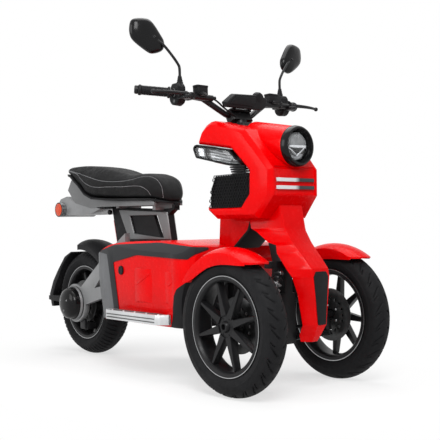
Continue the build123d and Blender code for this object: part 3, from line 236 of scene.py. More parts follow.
def make_finishes(red, black, silver):
    """All finishes; the red paint, the blacks and the silvers take their tones from three colours."""
    def tone(colour, share):
        return tuple(part * share for part in colour)

    def black_finish(name, rough, share=1.0, **more):
        return plain_finish(name, tone(black, 0.65 * share), tone(black, share), rough, **more)

    def silver_finish(name, rough, share=1.0, **more):
        return plain_finish(name, tone(silver, 0.8 * share), tone(silver, share), rough, **more)

    def red_finish(name):
        return plain_finish(name, tone(red, 0.85), red, (0.22, 0.3), coat=0.05, depth=0.000004, shine=0.06)

    trim = plain_finish("trim_paint", (0.10, 0.103, 0.108), (0.14, 0.144, 0.15), (0.35, 0.45), metallic=0.3)
    return {
        "body_red": two_finishes(
            red_finish("body_red"), LINER_EDGE, (800, 1200), (200, 500), tone(black, 0.9), 0.6, 0.0
        ),
        "red_paint": red_finish("red_paint"),
        "neck_red": two_finishes(
            red_finish("neck_red"), NECK_EDGE, (1000, 1200), (480, 600), tone(black, 0.9), 0.6, 0.0
        ),
        "side_trim": two_finishes(trim, TRIM_EDGE, (300, 700), (200, 500), (0.02, 0.021, 0.023), 0.4, 0.0),
        "charcoal_paint": black_finish("charcoal_paint", (0.3, 0.4), 2.2),
        "black_plastic": black_finish("black_plastic", (0.42, 0.56), depth=0.00005),
        "black_gloss": black_finish("black_gloss", (0.16, 0.24), 0.5, coat=0.08, depth=0.00001, shine=0.14),
        "silver_paint": silver_finish("silver_paint", (0.34, 0.44), 0.40, metallic=0.5),
        "brushed_silver": silver_finish(
            "brushed_silver", (0.36, 0.46), 0.26, metallic=0.6, grain=700.0, stretch=(0.05, 1, 1)
        ),
        "dark_silver": silver_finish(
            "dark_silver", (0.34, 0.46), 0.16, metallic=0.6, grain=700.0, stretch=(0.05, 1, 1)
        ),
        "black_steel": black_finish("black_steel", (0.3, 0.42), metallic=0.1, shine=0.2),
        "aluminium": silver_finish(
            "aluminium", (0.28, 0.4), 0.95, metallic=0.8, grain=700.0, stretch=(0.04, 1, 1)
        ),
        "steel": silver_finish("steel", (0.26, 0.38), 0.62, metallic=1.0),
        "dark_steel": silver_finish("dark_steel", (0.3, 0.42), 0.09, metallic=0.8),
        "chrome": silver_finish("chrome", (0.05, 0.1), 1.15, metallic=1.0),
        "tyre_rubber": black_finish("tyre_rubber", (0.6, 0.76), 0.95, depth=0.00008),
        "hose_rubber": black_finish("hose_rubber", (0.45, 0.6), depth=0.00005),
        "seat_leather": seat_leather(),
        "thread": plain_finish("thread", (0.20, 0.20, 0.21), (0.32, 0.32, 0.33), (0.6, 0.8), grain=4000.0),
        "clear_glass": clear_glass(),
        "lamp_white": led_strip(),
        "lamp_red": plain_finish(
            "lamp_red", (0.56, 0.05, 0.012), (0.70, 0.075, 0.016), (0.14, 0.22), coat=0.4, depth=0.00002
        ),
        "battery_case": black_finish("battery_case", (0.45, 0.55), 1.8),
    }


finishes = {}


# ---------------------------------------------------------------- shape helpers
def place_piece(name, shape, body, slot, replaced=(), finish=None, angle=32, rounding=0.0, recalc=True):
    """Turns a shape in millimetres into a piece that rides on a body."""
    shape.transform(TO_FRAME)
    bmesh.ops.remove_doubles(shape, verts=shape.verts, dist=0.000005)
    if recalc:
        bmesh.ops.recalc_face_normals(shape, faces=shape.faces)
    mesh = bpy.data.meshes.new(name)
    shape.to_mesh(mesh)
    shape.free()
    mesh.materials.append(finishes[finish or slot])
    mesh.shade_smooth()
    mesh.set_sharp_from_angle(angle=math.radians(angle))
    piece = bpy.data.objects.new(name, mesh)
    bpy.context.scene.collection.objects.link(piece)
    if rounding:
        edge = piece.modifiers.new("edge", "BEVEL")
        edge.width = rounding / 1000
        edge.segments = 2
        edge.limit_method = "ANGLE"
        edge.angle_limit = math.radians(angle)
    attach(piece, body)
    if replaced:
        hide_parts(*replaced)
    return piece


def put(shape, part, matrix=None):
    """Adds a part to a shape."""
    if matrix is not None:
        part.transform(matrix)
        if matrix.determinant() < 0:
            bmesh.ops.reverse_faces(part, faces=part.faces)
    holder = bpy.data.meshes.new("holder")
    part.to_mesh(holder)
    part.free()
    shape.from_mesh(holder)
    bpy.data.meshes.remove(holder)


def both_sides(shape):
    """The shape together with its mirror image on the other side of the machine."""
    other = shape.copy()
    put(shape, other, Matrix.Scale(-1, 4, (0, 1, 0)))
    return shape


def facing(origin, normal, across=(0, 0, 1)):
    """Places local z along the normal and local y as near as it can be to across."""
    z = Vector(normal).normalized()
    x = Vector(across).cross(z).normalized()
    y = z.cross(x)
    matrix = Matrix((x, y, z)).transposed().to_4x4()
    matrix.translation = Vector(origin)
    return matrix


def turned(profile, steps=48, closed=True):
    """Spins (height, radius) points round local z."""
    shape = bmesh.new()
    verts = [shape.verts.new((radius, 0, height)) for height, radius in profile]
    edges = [shape.edges.new(pair) for pair in zip(verts, verts[1:])]
    if closed:
        edges.append(shape.edges.new((verts[-1], verts[0])))
    bmesh.ops.spin(
        shape, geom=verts + edges, cent=(0, 0, 0), axis=(0, 0, 1), angle=math.tau, steps=steps, use_merge=True
    )
    bmesh.ops.remove_doubles(shape, verts=shape.verts, dist=0.001)
    bmesh.ops.recalc_face_normals(shape, faces=shape.faces)
    return shape


def prism(outline, depth, edge=0.0, segments=2):
    """Extrudes an outline in local xy along +z, with its edges bevelled."""
    shape = bmesh.new()
    face = shape.faces.new([shape.verts.new((x, y, 0)) for x, y in outline])
    made = bmesh.ops.extrude_face_region(shape, geom=[face])["geom"]
    top = [v for v in made if isinstance(v, bmesh.types.BMVert)]
    bmesh.ops.translate(shape, verts=top, vec=(0, 0, depth))
    bmesh.ops.recalc_face_normals(shape, faces=shape.faces)
    if edge:
        bmesh.ops.bevel(
            shape, geom=shape.edges[:], offset=edge, segments=segments, profile=0.5, affect="EDGES", material=-1
        )
    return shape


def brick(size, edge, segments=2):
    """Block with rounded edges, centred on the origin."""
    shape = bmesh.new()
    bmesh.ops.create_cube(shape, size=1, matrix=Matrix.Diagonal((*size, 1)))
    bmesh.ops.bevel(
        shape, geom=shape.edges[:], offset=edge, segments=segments, profile=0.5, affect="EDGES", material=-1
    )
    return shape


def tray(outline, depth, wall, floor):
    """Block with a flat-bottomed recess inside its rim, open towards +z."""
    shape = prism(outline, depth)
    top = max(shape.faces, key=lambda face: face.calc_center_median().z)
    bmesh.ops.inset_region(shape, faces=[top], thickness=wall, depth=0)
    bmesh.ops.inset_region(shape, faces=[top], thickness=0.6, depth=-floor)
    return shape


def bolt(radius, height):
    """Socket-head screw standing on local z = 0."""
    shape = turned([(-1, 0), (-1, radius), (height * 0.75, radius), (height, radius * 0.82), (height, 0)], 16, False)
    top = [f for f in shape.faces if f.calc_center_median().z > height * 0.98]
    bmesh.ops.inset_region(shape, faces=top, thickness=radius * 0.38, depth=0)
    bmesh.ops.inset_region(shape, faces=top, thickness=radius * 0.04, depth=-height * 0.5)
    return shape


def pipe(points, radius, order=3, resolution=5):
    """Round tube along a smooth spline through the middle of its control points."""
    curve = bpy.data.curves.new("pipe", "CURVE")
    curve.dimensions = "3D"
    curve.bevel_depth = radius
    curve.bevel_resolution = 3
    curve.use_fill_caps = True
    spline = curve.splines.new("NURBS")
    spline.points.add(len(points) - 1)
    for point, place in zip(spline.points, points):
        point.co = (*place, 1)
    spline.order_u = order
    spline.use_endpoint_u = True
    spline.resolution_u = resolution
    holder = bpy.data.objects.new("pipe", curve)
    mesh = bpy.data.meshes.new_from_object(holder)
    shape = bmesh.new()
    shape.from_mesh(mesh)
    bpy.data.objects.remove(holder)
    bpy.data.curves.remove(curve)
    bpy.data.meshes.remove(mesh)
    return shape


def arc(centre, radius, start, end, steps):
    """Points of an arc, angles in degrees."""
    return [
        (centre[0] + radius * math.cos(math.radians(a)), centre[1] + radius * math.sin(math.radians(a)))
        for a in (start + (end - start) * i / steps for i in range(steps + 1))
    ]


# ---------------------------------------------------------------- wheels
def tread_depth(turn, side, units, style):
    """Share of the groove's depth at a place of the tread: turn from 0 to 1, side from -1 to 1."""
    share = abs(side)
    if SHOULDER_RIB[0] < share < SHOULDER_RIB[1]:
        return 0.35
    phase = (turn * units + (0.5 if side > 0 else 0.0)) % 1.0
    deepest = 0.0
    for start, end, offset, sweep, width in style:
        if not start < share < end:
            continue
        along = (share - start) / (end - start)
        middle = (offset + sweep * along ** 1.6) % 1.0
        gap = abs((phase - middle + 0.5) % 1.0 - 0.5)
        fade = min(1.0, along * 5, (1 - along) * 5)
        deepest = max(deepest, fade * max(0.0, min(1.0, (width - gap) / (width * 0.4))))
    return deepest


ROAD_TREAD = ((0.10, 0.92, 0.05, 0.75, 0.07), (0.45, 0.92, 0.62, 0.34, 0.055))
BLOCK_TREAD = ((0.12, 1.3, 0.1, 0.45, 0.19),)
SHOULDER_RIB = (0.955, 0.985)


def treaded_tyre(radius, width, rim_w, units, style, groove, steps):
    """Tyre round local z, its tread cut by grooves and its walls ringed."""
    seat, lip = 152.6, 167.6
    half = width / 2
    shoulder = (half * 0.8, radius - half * 0.32)
    bulge = (lip + shoulder[1]) / 2
    wall = [(rim_w / 2, seat), (rim_w / 2, lip - 2), (rim_w / 2 + 2, lip + 1.5)]
    wall += [(half * 0.93, lip + (bulge - lip) * 0.45), (half * 0.985, bulge - 3), (half * 0.985, bulge - 1.5)]
    wall += [(half, bulge - 0.5), (half, bulge + 1.5), (half * 0.98, bulge + 3), (half * 0.955, bulge + 9)]
    wall += [(half * 0.89, shoulder[1] - 4)]
    crown = []
    rise = radius - shoulder[1]
    bend = (shoulder[0] ** 2 + rise ** 2) / (2 * rise)
    count = 34
    for i in range(count + 1):
        y = shoulder[0] * (1 - 2 * i / count)
        crown.append((y, radius - bend + math.sqrt(bend ** 2 - y ** 2)))
    profile = wall + crown + [(-y, r) for y, r in reversed(wall)]
    shape = turned(profile, steps, True)
    for vert in shape.verts:
        y, r = vert.co.z, math.hypot(vert.co.x, vert.co.y)
        if r > shoulder[1] - 6:
            turn = math.atan2(vert.co.y, vert.co.x) / math.tau % 1.0
            cut = groove * tread_depth(turn, y / (half * 0.9), units, style)
            vert.co.x *= 1 - cut / r
            vert.co.y *= 1 - cut / r
    return shape


def blade_rim(rim_w, hub_r, hub_half, spokes, inner, outer, low, high):
    """Cast rim round local z: barrel, drum or hub, and ridged blades from low to high."""
    half = rim_w / 2
    barrel = [
        (-half - 5, 152), (-half - 5, 164), (-half - 3.5, 167), (-half - 1, 167), (-half, 164), (-half, 152.5),
        (-half + 8, 152), (-half + 12, 149), (half - 12, 149), (half - 8, 152), (half, 152.5), (half, 164),
        (half + 1, 167), (half + 3.5, 167), (half + 5, 164), (half + 5, 152), (half - 1, 147), (half - 12, 144),
        (-half + 12, 144), (-half + 1, 147),
    ]
    shape = turned(barrel, 96)
    hub = [
        (-hub_half, 9.5), (-hub_half, hub_r - 4), (-hub_half + 3, hub_r), (hub_half - 3, hub_r),
        (hub_half, hub_r - 4), (hub_half, 9.5),
    ]
    put(shape, turned(hub, 48))
    for i in range(spokes):
        blade = prism([(hub_r - 5, -inner), (145.5, -outer), (145.5, outer), (hub_r - 5, inner)], high - low)
        top = max(blade.faces, key=lambda face: face.calc_center_median().z)
        bmesh.ops.inset_region(blade, faces=[top], thickness=min(inner, outer) * 0.62, depth=(high - low) * 0.4)
        turn = Matrix.Rotation(math.tau * i / spokes, 4, "Z")
        put(shape, blade, turn @ Matrix.Translation((0, 0, low)))
    return shape


def wheel_matrix(tyre_node, outward):
    """Wheel frame: local z points outwards, away from the machine's middle."""
    return facing(cad_middle(tyre_node), (0, outward, 0))


# ---------------------------------------------------------------- seat
SEAT_STATIONS = (
    # x, crest height, underside, half width
    (-130, 838, 826, 30), (-122, 848, 824, 52), (-104, 853, 824, 69), (-70, 855, 824, 93), (-20, 855, 815, 109),
    (30, 855, 784, 116), (70, 852, 760, 118), (108, 848, 730, 119), (170, 840, 708, 119), (230, 830, 703, 116),
    (290, 816, 698, 111), (350, 800, 695, 106), (400, 791, 693, 102), (450, 790, 691, 98), (500, 789, 689, 95),
    (545, 783, 686, 92), (580, 772, 683, 83), (606, 754, 677, 68), (628, 728, 672, 51), (642, 703, 670, 33),
    (648, 688, 671, 18),
)
# share of the half width, share of the height from the underside
SEAT_SECTION = (
    (0, 1.0), (0.35, 0.995), (0.62, 0.965), (0.82, 0.88), (0.95, 0.70), (1.0, 0.46), (0.985, 0.22),
    (0.93, 0.04), (0.80, 0.0), (0.4, 0.0), (0, 0),
)
UPPER_SEAM = (
    (-66, 88, 843), (-10, 106, 836), (38, 111, 829), (126, 113, 807), (228, 112, 777), (311, 106, 768),
    (402, 91, 771), (496, 76, 779), (549, 61, 777), (590, 56, 766), (614, 53, 741), (627, 54, 706), (623, 54, 676),
)
LOWER_SEAM = (
    (-66, 90, 839), (-10, 108, 831), (41, 113, 824), (85, 117, 791), (148, 117, 761), (215, 115, 746),
    (344, 107, 743), (449, 97, 741), (521, 94, 735), (557, 88, 718), (571, 83, 696), (569, 82, 688),
)


def seat_form(shrink):
    """Closed seat shape from its cross-sections, a little smaller than the finished pad."""
    shape = bmesh.new()
    rings = []
    for x, top, low, half in SEAT_STATIONS:
        half -= shrink
        top -= shrink
        left = [(half * a, low + (top - low) * b) for a, b in SEAT_SECTION]
        ring = left + [(-y, z) for y, z in reversed(left[1:-1])]
        rings.append([shape.verts.new((x, y, z)) for y, z in ring])
    for ring in rings:
        for a, b in zip(ring, ring[1:] + ring[:1]):
            shape.edges.new((a, b))
    for first, second in zip(rings, rings[1:]):
        loops = [shape.edges.get((a, b)) for ring in (first, second) for a, b in zip(ring, ring[1:] + ring[:1])]
        bmesh.ops.bridge_loops(shape, edges=loops)
    for ring in (rings[0], rings[-1]):
        shape.faces.new(ring)
    bmesh.ops.recalc_face_normals(shape, faces=shape.faces)
    bmesh.ops.subdivide_edges(shape, edges=shape.edges[:], cuts=1, use_grid_fill=True, smooth=0.6)
    return shape


def mesh_with_modifiers(piece):
    """A copy of the piece's mesh with its modifiers applied."""
    depsgraph = bpy.context.evaluated_depsgraph_get()
    return bpy.data.meshes.new_from_object(piece.evaluated_get(depsgraph))


def puffed(piece, pressure, cap):
    """Remeshes a pad, lets it swell as cloth under pressure, and caps how far a point moves."""
    remesh = piece.modifiers.new("remesh", "REMESH")
    remesh.mode = "VOXEL"
    remesh.voxel_size = 0.006
    piece.data = mesh_with_modifiers(piece)
    piece.modifiers.clear()
    rest = [v.co.copy() for v in piece.data.vertices]
    cloth = piece.modifiers.new("cloth", "CLOTH")
    cloth.settings.use_pressure = True
    cloth.settings.uniform_pressure_force = pressure
    cloth.settings.effector_weights.gravity = 0
    cloth.settings.quality = 5
    for number in range(1, 15):
        bpy.context.scene.frame_set(number)
    swollen = mesh_with_modifiers(piece)
    piece.modifiers.clear()
    bpy.context.scene.frame_set(1)
    for vert, start, end in zip(piece.data.vertices, rest, swollen.vertices):
        move = end.co - start
        vert.co = start + move * min(1.0, cap / max(move.length, 1e-9))


def seam_line(tree, points, spacing):
    """Evenly spaced points of a seam on the seat's surface, with the surface's normals."""
    line = pipe_line(points)
    snapped = [tree.find_nearest(TO_FRAME @ p)[:2] for p in line]
    picked, run = [], 0.0
    for (a, normal), (b, _) in zip(snapped, snapped[1:]):
        step = (b - a).length
        while run < step:
            picked.append((a.lerp(b, run / max(step, 1e-9)), normal, (b - a).normalized()))
            run += spacing
        run -= step
    return picked


def pipe_line(points):
    """Points along a smooth spline through the middle of its control points."""
    curve = bpy.data.curves.new("line", "CURVE")
    curve.dimensions = "3D"
    spline = curve.splines.new("NURBS")
    spline.points.add(len(points) - 1)
    for point, place in zip(spline.points, points):
        point.co = (*place, 1)
    spline.order_u = 3
    spline.use_endpoint_u = True
    spline.resolution_u = 12
    holder = bpy.data.objects.new("line", curve)
    mesh = bpy.data.meshes.new_from_object(holder)
    line = [v.co.copy() for v in mesh.vertices]
    bpy.data.objects.remove(holder)
    bpy.data.curves.remove(curve)
    bpy.data.meshes.remove(mesh)
    return line


def make_seat(stitch):
    """Long padded seat: swollen leather pad with sunk seams, and rows of stitches along them."""
    pad = place_piece("seat_pad", seat_form(4.0), "seat", "seat_leather", ("seat",))
    puffed(pad, 4.0, 0.006)
    under = [(x, low) for x, _, low, _ in SEAT_STATIONS]
    for vert in pad.data.vertices:
        x = (vert.co.x - rear_x) * 1000
        for (x0, z0), (x1, z1) in zip(under, under[1:]):
            if x0 <= x <= x1:
                floor = z0 + (z1 - z0) * (x - x0) / (x1 - x0)
                vert.co.z = max(vert.co.z, floor / 1000)
    smoothing = pad.modifiers.new("smoothing", "SMOOTH")
    smoothing.iterations = 6
    fine = pad.modifiers.new("fine", "SUBSURF")
    fine.levels = fine.render_levels = 1
    pad.data = mesh_with_modifiers(pad)
    pad.modifiers.clear()
    shape = bmesh.new()
    shape.from_mesh(pad.data)
    tree = BVHTree.FromBMesh(shape)
    shape.free()
    stitches = bmesh.new()
    seams = []
    for seam in (UPPER_SEAM, LOWER_SEAM):
        for side in (1, -1):
            seams.append(seam_line(tree, [(x, side * y, z) for x, y, z in seam], 0.0052))
    points = [place for row in seams for place, _, _ in row]
    lookup = KDTree(len(points))
    for number, place in enumerate(points):
        lookup.insert(place, number)
    lookup.balance()
    for vert in pad.data.vertices:
        gap = lookup.find(vert.co)[2]
        if gap < 0.009:
            vert.co -= vert.normal * 0.0022 * (1 - gap / 0.009) ** 2
    for row in seams:
        for place, normal, along in row:
            one = bmesh.new()
            bmesh.ops.create_cone(
                one, cap_ends=True, segments=5, radius1=stitch, radius2=stitch * 0.8, depth=0.0036
            )
            put(stitches, one, facing(place - normal * 0.0012, along, normal))
    stitches.transform(TO_FRAME.inverted())
    for polygon in pad.data.polygons:
        polygon.use_smooth = True
    place_piece("seat_stitches", stitches, "seat", "seat_leather", finish="thread")
    return pad


# ---------------------------------------------------------------- front end
def flank(side, depth=0.0):
    """Drawing plane of the cowl's side panel: local x and y are its x and z, local z points outwards."""
    along = Vector((1, -0.09, 0)).normalized()
    out = Vector((0.09, 1, 0)).normalized()
    matrix = Matrix((along, Vector((0, 0, 1)), out)).transposed().to_4x4()
    matrix.translation = Vector((1322, 118, 0)) - out * depth
    if side < 0:
        matrix = Matrix.Scale(-1, 4, (0, 1, 0)) @ matrix
    return matrix


def on_flank(points):
    return [(x - 1322, z) for x, z in points]


def make_headlamp():
    """Deep black bezel, chrome bowl with its cross bar, and a domed lens."""
    low, high = cad_mm("headlamp_bezel")
    middle = (low + high) / 2
    radius = (high.z - low.z) / 2
    at = facing((low.x + 4, middle.y, middle.z), (1, 0, 0))
    bezel = turned(
        [
            (0, radius - 12), (0, radius), (3, radius + 0.6), (9, radius + 0.6), (20, radius - 2), (25, radius - 5),
            (27, radius - 9), (26, radius - 12), (19, radius - 15), (9, radius - 19), (4, radius - 21.6),
            (-3, radius - 22), (-3, radius - 12),
        ],
        96,
    )
    bezel.transform(at)
    place_piece("headlamp_ring", bezel, "chassis", "black_plastic", ("headlamp_bezel",), finish="black_gloss")
    bowl = turned(
        [(6, 48.2), (1, 47), (-8, 41), (-17, 30), (-23, 16), (-25, 0), (-27, 0), (-25, 17), (-19, 32), (-9, 43.5),
         (0, 48.4)], 64, False,
    )
    put(bowl, brick((84, 12, 9), 2), Matrix.Translation((0, 0, -1)))
    for side in (1, -1):
        slope = Matrix.Translation((side * 17, -16, -3)) @ Matrix.Rotation(side * 0.62, 4, "Z")
        put(bowl, brick((40, 6, 8), 1.5), slope)
    mask = prism([*arc((0, 5), 40, 0, 180, 20)], 3, 0.8)
    for i in range(11):
        off = i - 5
        rib = brick((1.6, 36 - abs(off) * 4, 3), 0.4, 1)
        put(mask, rib, Matrix.Translation((off * 6.4, 24 - abs(off) * 1.6, 3)))
    put(mask, prism([*arc((0, -6), 38, 205, 335, 12)], 2, 0.5), Matrix.Translation((0, 0, -9)))
    mask.transform(at @ Matrix.Translation((0, 0, -4)))
    place_piece("headlamp_mask", mask, "chassis", "lamp_white", finish="steel")
    bowl.transform(at)
    place_piece("headlamp_bowl", bowl, "chassis", "lamp_white", finish="chrome")
    lens = turned(
        [(5, 48.6), (8, 48.6), (12, 44), (15.5, 32), (17.5, 16), (18, 0), (16, 0), (15.5, 16), (13.5, 31), (10, 42),
         (5, 47)], 64, False,
    )
    lens.transform(at)
    place_piece("headlamp_cover", lens, "chassis", "clear_glass", ("headlamp_lens",))


LAMP_OUTLINE = (
    (968, 859), (956, 857), (949, 850), (948, 842), (960, 815), (965, 810), (1138, 769), (1189, 766), (1128, 828),
    (1122, 830),
)
LAMP_WINDOW = (
    (972, 851), (960, 849), (956, 843), (967, 818), (970, 816), (1139, 777), (1172, 775), (1124, 822), (1118, 824),
)


def make_side_lamps():
    """Long side lamps: black housing, bright reflector with steps, and a clear cover."""
    housing, back, inside, cover = bmesh.new(), bmesh.new(), bmesh.new(), bmesh.new()
    for side in (1, -1):
        put(housing, tray(on_flank(LAMP_OUTLINE), 44, 6.5, 16), flank(side, 46))
        put(housing, prism(on_flank([(1009, 842), (1018, 840), (1024, 805), (1016, 807)]), 14, 1.5), flank(side, 18))
        put(back, prism(on_flank(LAMP_WINDOW), 1.5), flank(side, 17.5))
        for number in range(5):
            x0, x1 = 1026 + number * 5, 1150 - number * 9
            z = 835 - number * 9
            step = prism(
                on_flank([(x0, z - (x0 - 1026) * 0.23), (x1, z - 0.23 * (x1 - 1026)),
                          (x1 - 4, z - 5 - 0.23 * (x1 - 1026)), (x0, z - 6 - (x0 - 1026) * 0.23)]),
                6 - number * 0.6, 1.2, 1,
            )
            put(inside, step, flank(side, 16.5))
        put(inside, prism(on_flank([(970, 846), (1002, 840), (1002, 812), (972, 819)]), 7, 3, 2), flank(side, 16.5))
        put(cover, prism(on_flank(LAMP_WINDOW), 2.2, 0.8), flank(side, 5.5))
    place_piece(
        "side_lamp_housings", housing, "chassis", "black_plastic", ("side_lamps",), finish="black_gloss", rounding=1.0
    )
    place_piece("side_lamp_backs", back, "chassis", "lamp_white", finish="brushed_silver")
    place_piece("side_lamp_reflectors", inside, "chassis", "lamp_white", finish="steel")
    place_piece("side_lamp_covers", cover, "chassis", "clear_glass")


GRILLE_OUTLINE = (
    (1056, 738), (1050, 734), (1032, 696), (1025, 634), (1030, 628), (1176, 625), (1218, 669), (1222, 738),
)


def inside_outline(point, outline):
    """True if a point lies within an outline."""
    x, y = point
    count = 0
    for (x0, y0), (x1, y1) in zip(outline, outline[1:] + outline[:1]):
        if (y0 > y) != (y1 > y) and x < x0 + (y - y0) * (x1 - x0) / (y1 - y0):
            count += 1
    return count % 2 == 1


def make_grilles(cell):
    """Honeycomb mesh in a plain frame over a dark back, with the ribbed boot above it."""
    outline = list(GRILLE_OUTLINE)
    mesh, boot = bmesh.new(), bmesh.new()
    for side in (1, -1):
        comb = bmesh.new()
        pitch = cell * math.sqrt(3)
        row = 0
        y = 620
        while y < 766:
            x = 1010 + (row % 2) * pitch / 2
            while x < 1230:
                if inside_outline((x, y), outline) and inside_outline((x + 6, y), outline):
                    bmesh.ops.create_circle(
                        comb, cap_ends=True, segments=6, radius=cell,
                        matrix=Matrix.Translation((x - 1322, y, 0)) @ Matrix.Rotation(math.pi / 6, 4, "Z"),
                    )
                x += pitch
            y += cell * 1.5
            row += 1
        bmesh.ops.remove_doubles(comb, verts=comb.verts, dist=0.4)
        holes = bmesh.ops.inset_individual(comb, faces=comb.faces[:], thickness=cell * 0.2, depth=0)
        walls = set(holes["faces"])
        bmesh.ops.delete(comb, geom=[f for f in comb.faces if f not in walls], context="FACES")
        bmesh.ops.recalc_face_normals(comb, faces=comb.faces)
        for face in comb.faces:
            if face.normal.z < 0:
                face.normal_flip()
        bmesh.ops.solidify(comb, geom=comb.faces[:] + comb.edges[:] + comb.verts[:], thickness=-4)
        put(mesh, comb, flank(side, 10.5))
        rim = tray(on_flank(outline), 7, 5, 6.0)
        put(mesh, rim, flank(side, 17))
        for number in range(4):
            z = 768 - number * 8.0
            inset = number * 2.0
            rib = prism(on_flank([(1130 + inset, z - 6), (1130 + inset, z), (1200 - inset, z),
                                  (1203 - inset, z - 6)]), 34, 2)
            put(boot, rib, flank(side, 37 + number))
    place_piece("grille_mesh", mesh, "chassis", "black_plastic", ("side_grilles",))
    place_piece("lamp_boots", boot, "chassis", "black_plastic", finish="hose_rubber")


# ---------------------------------------------------------------- handlebar
MIRROR_LEAF = (
    (69, 1), (56, -19), (33, -40), (16, -46), (-12, -42), (-43, -33), (-70, -25), (-85, -2), (-78, 19), (-62, 40),
    (-49, 46), (-18, 51), (15, 54), (32, 51), (49, 38), (62, 19),
)


def mirror_plane():
    """Plane of the left mirror's glass, which looks back at the rider."""
    normal = Vector((-math.cos(math.radians(10.6)), -math.sin(math.radians(10.6)), 0))
    across = Vector((0.1, 0.78, 0.62))
    across = (across - normal * across.dot(normal)).normalized()
    matrix = Matrix((across, normal.cross(across), normal)).transposed().to_4x4()
    matrix.translation = Vector((962, 354, 1238))
    return matrix


def rounded_leaf(scale, steps=5):
    """The mirror's outline, its corners rounded."""
    count = len(MIRROR_LEAF)
    points = []
    for i in range(count):
        a, b, c = (Vector(MIRROR_LEAF[(i + k) % count]) for k in (-1, 0, 1))
        start, end = (a + b) / 2, (b + c) / 2
        for k in range(steps):
            t = k / steps
            points.append(tuple((start * (1 - t) ** 2 + b * 2 * t * (1 - t) + end * t ** 2) * scale))
    return points


def make_mirrors():
    """Leaf-shaped mirrors: domed gloss shell, recessed glass and a bent stem."""
    shells, glass, stems = bmesh.new(), bmesh.new(), bmesh.new()
    plane = mirror_plane()
    outline = rounded_leaf(1.0)
    shell = bmesh.new()
    rings = []
    for share, height in ((0.90, 7), (0.955, 11), (1.0, 8), (1.0, 2), (0.97, -5), (0.88, -11), (0.72, -15.5), (0.45, -18.5),
                          (0.18, -20)):
        rings.append([shell.verts.new((x * share, y * share, height)) for x, y in outline])
    for first, second in zip(rings, rings[1:]):
        for i in range(len(outline)):
            j = (i + 1) % len(outline)
            shell.faces.new((first[i], first[j], second[j], second[i]))
    shell.faces.new(rings[-1])
    shell.faces.new(list(reversed(rings[0])))
    put(shells, shell, plane)
    pane = prism(rounded_leaf(0.9), 2.5, 0.5, 1)
    put(glass, pane, plane @ Matrix.Translation((0, 0, 5.6)))
    stem = pipe(
        [(1004, 244, 1088), (1004, 243, 1116), (1003, 247, 1134), (990, 299, 1198), (982, 320, 1212),
         (972, 344, 1230)], 5, resolution=8,
    )
    put(stems, stem)
    put(stems, turned([(-6, 0), (-6, 9), (3, 11), (8, 8), (10, 5)], 24, False),
        facing((977, 334, 1222), (-0.5, 0.55, 0.6)))
    for shape in (shells, glass, stems):
        both_sides(shape)
    place_piece("mirror_shells", shells, "handlebar", "black_plastic", ("mirrors",), finish="black_gloss", angle=50)
    place_piece("mirror_glass", glass, "handlebar", "steel", finish="chrome")
    place_piece("mirror_stems", stems, "handlebar", "black_steel")


GRIP_IN, GRIP_OUT = Vector((1000, 283, 1031)), Vector((940, 381, 1041))


def make_grips():
    """Ribbed rubber grips with flanges and weighted ends."""
    run = GRIP_OUT - GRIP_IN
    profile = [(2, 11.2), (2, 19), (4, 20.4), (8, 20.4), (10, 19), (12, 16)]
    station = 14.0
    while station < run.length - 16:
        profile += [(station, 15.4), (station + 0.8, 16.6), (station + 2.9, 16.6), (station + 3.7, 15.4)]
        station += 4.6
    end = run.length
    profile += [(end - 14, 16), (end - 11, 18.6), (end - 5, 18.6), (end - 2, 16), (end - 2, 11.2)]
    grips, caps = bmesh.new(), bmesh.new()
    put(grips, turned(profile, 40), facing(GRIP_IN, run))
    cap = turned([(end - 2, 0), (end - 2, 12.5), (end, 15), (end + 8, 15), (end + 11, 12), (end + 11, 6), (end + 8, 5),
                  (end + 8, 0)], 32, False)
    put(caps, cap, facing(GRIP_IN, run))
    place_piece("grip_rubbers", both_sides(grips), "handlebar", "black_plastic", ("grips",), finish="hose_rubber")
    place_piece("bar_ends", both_sides(caps), "handlebar", "black_steel")


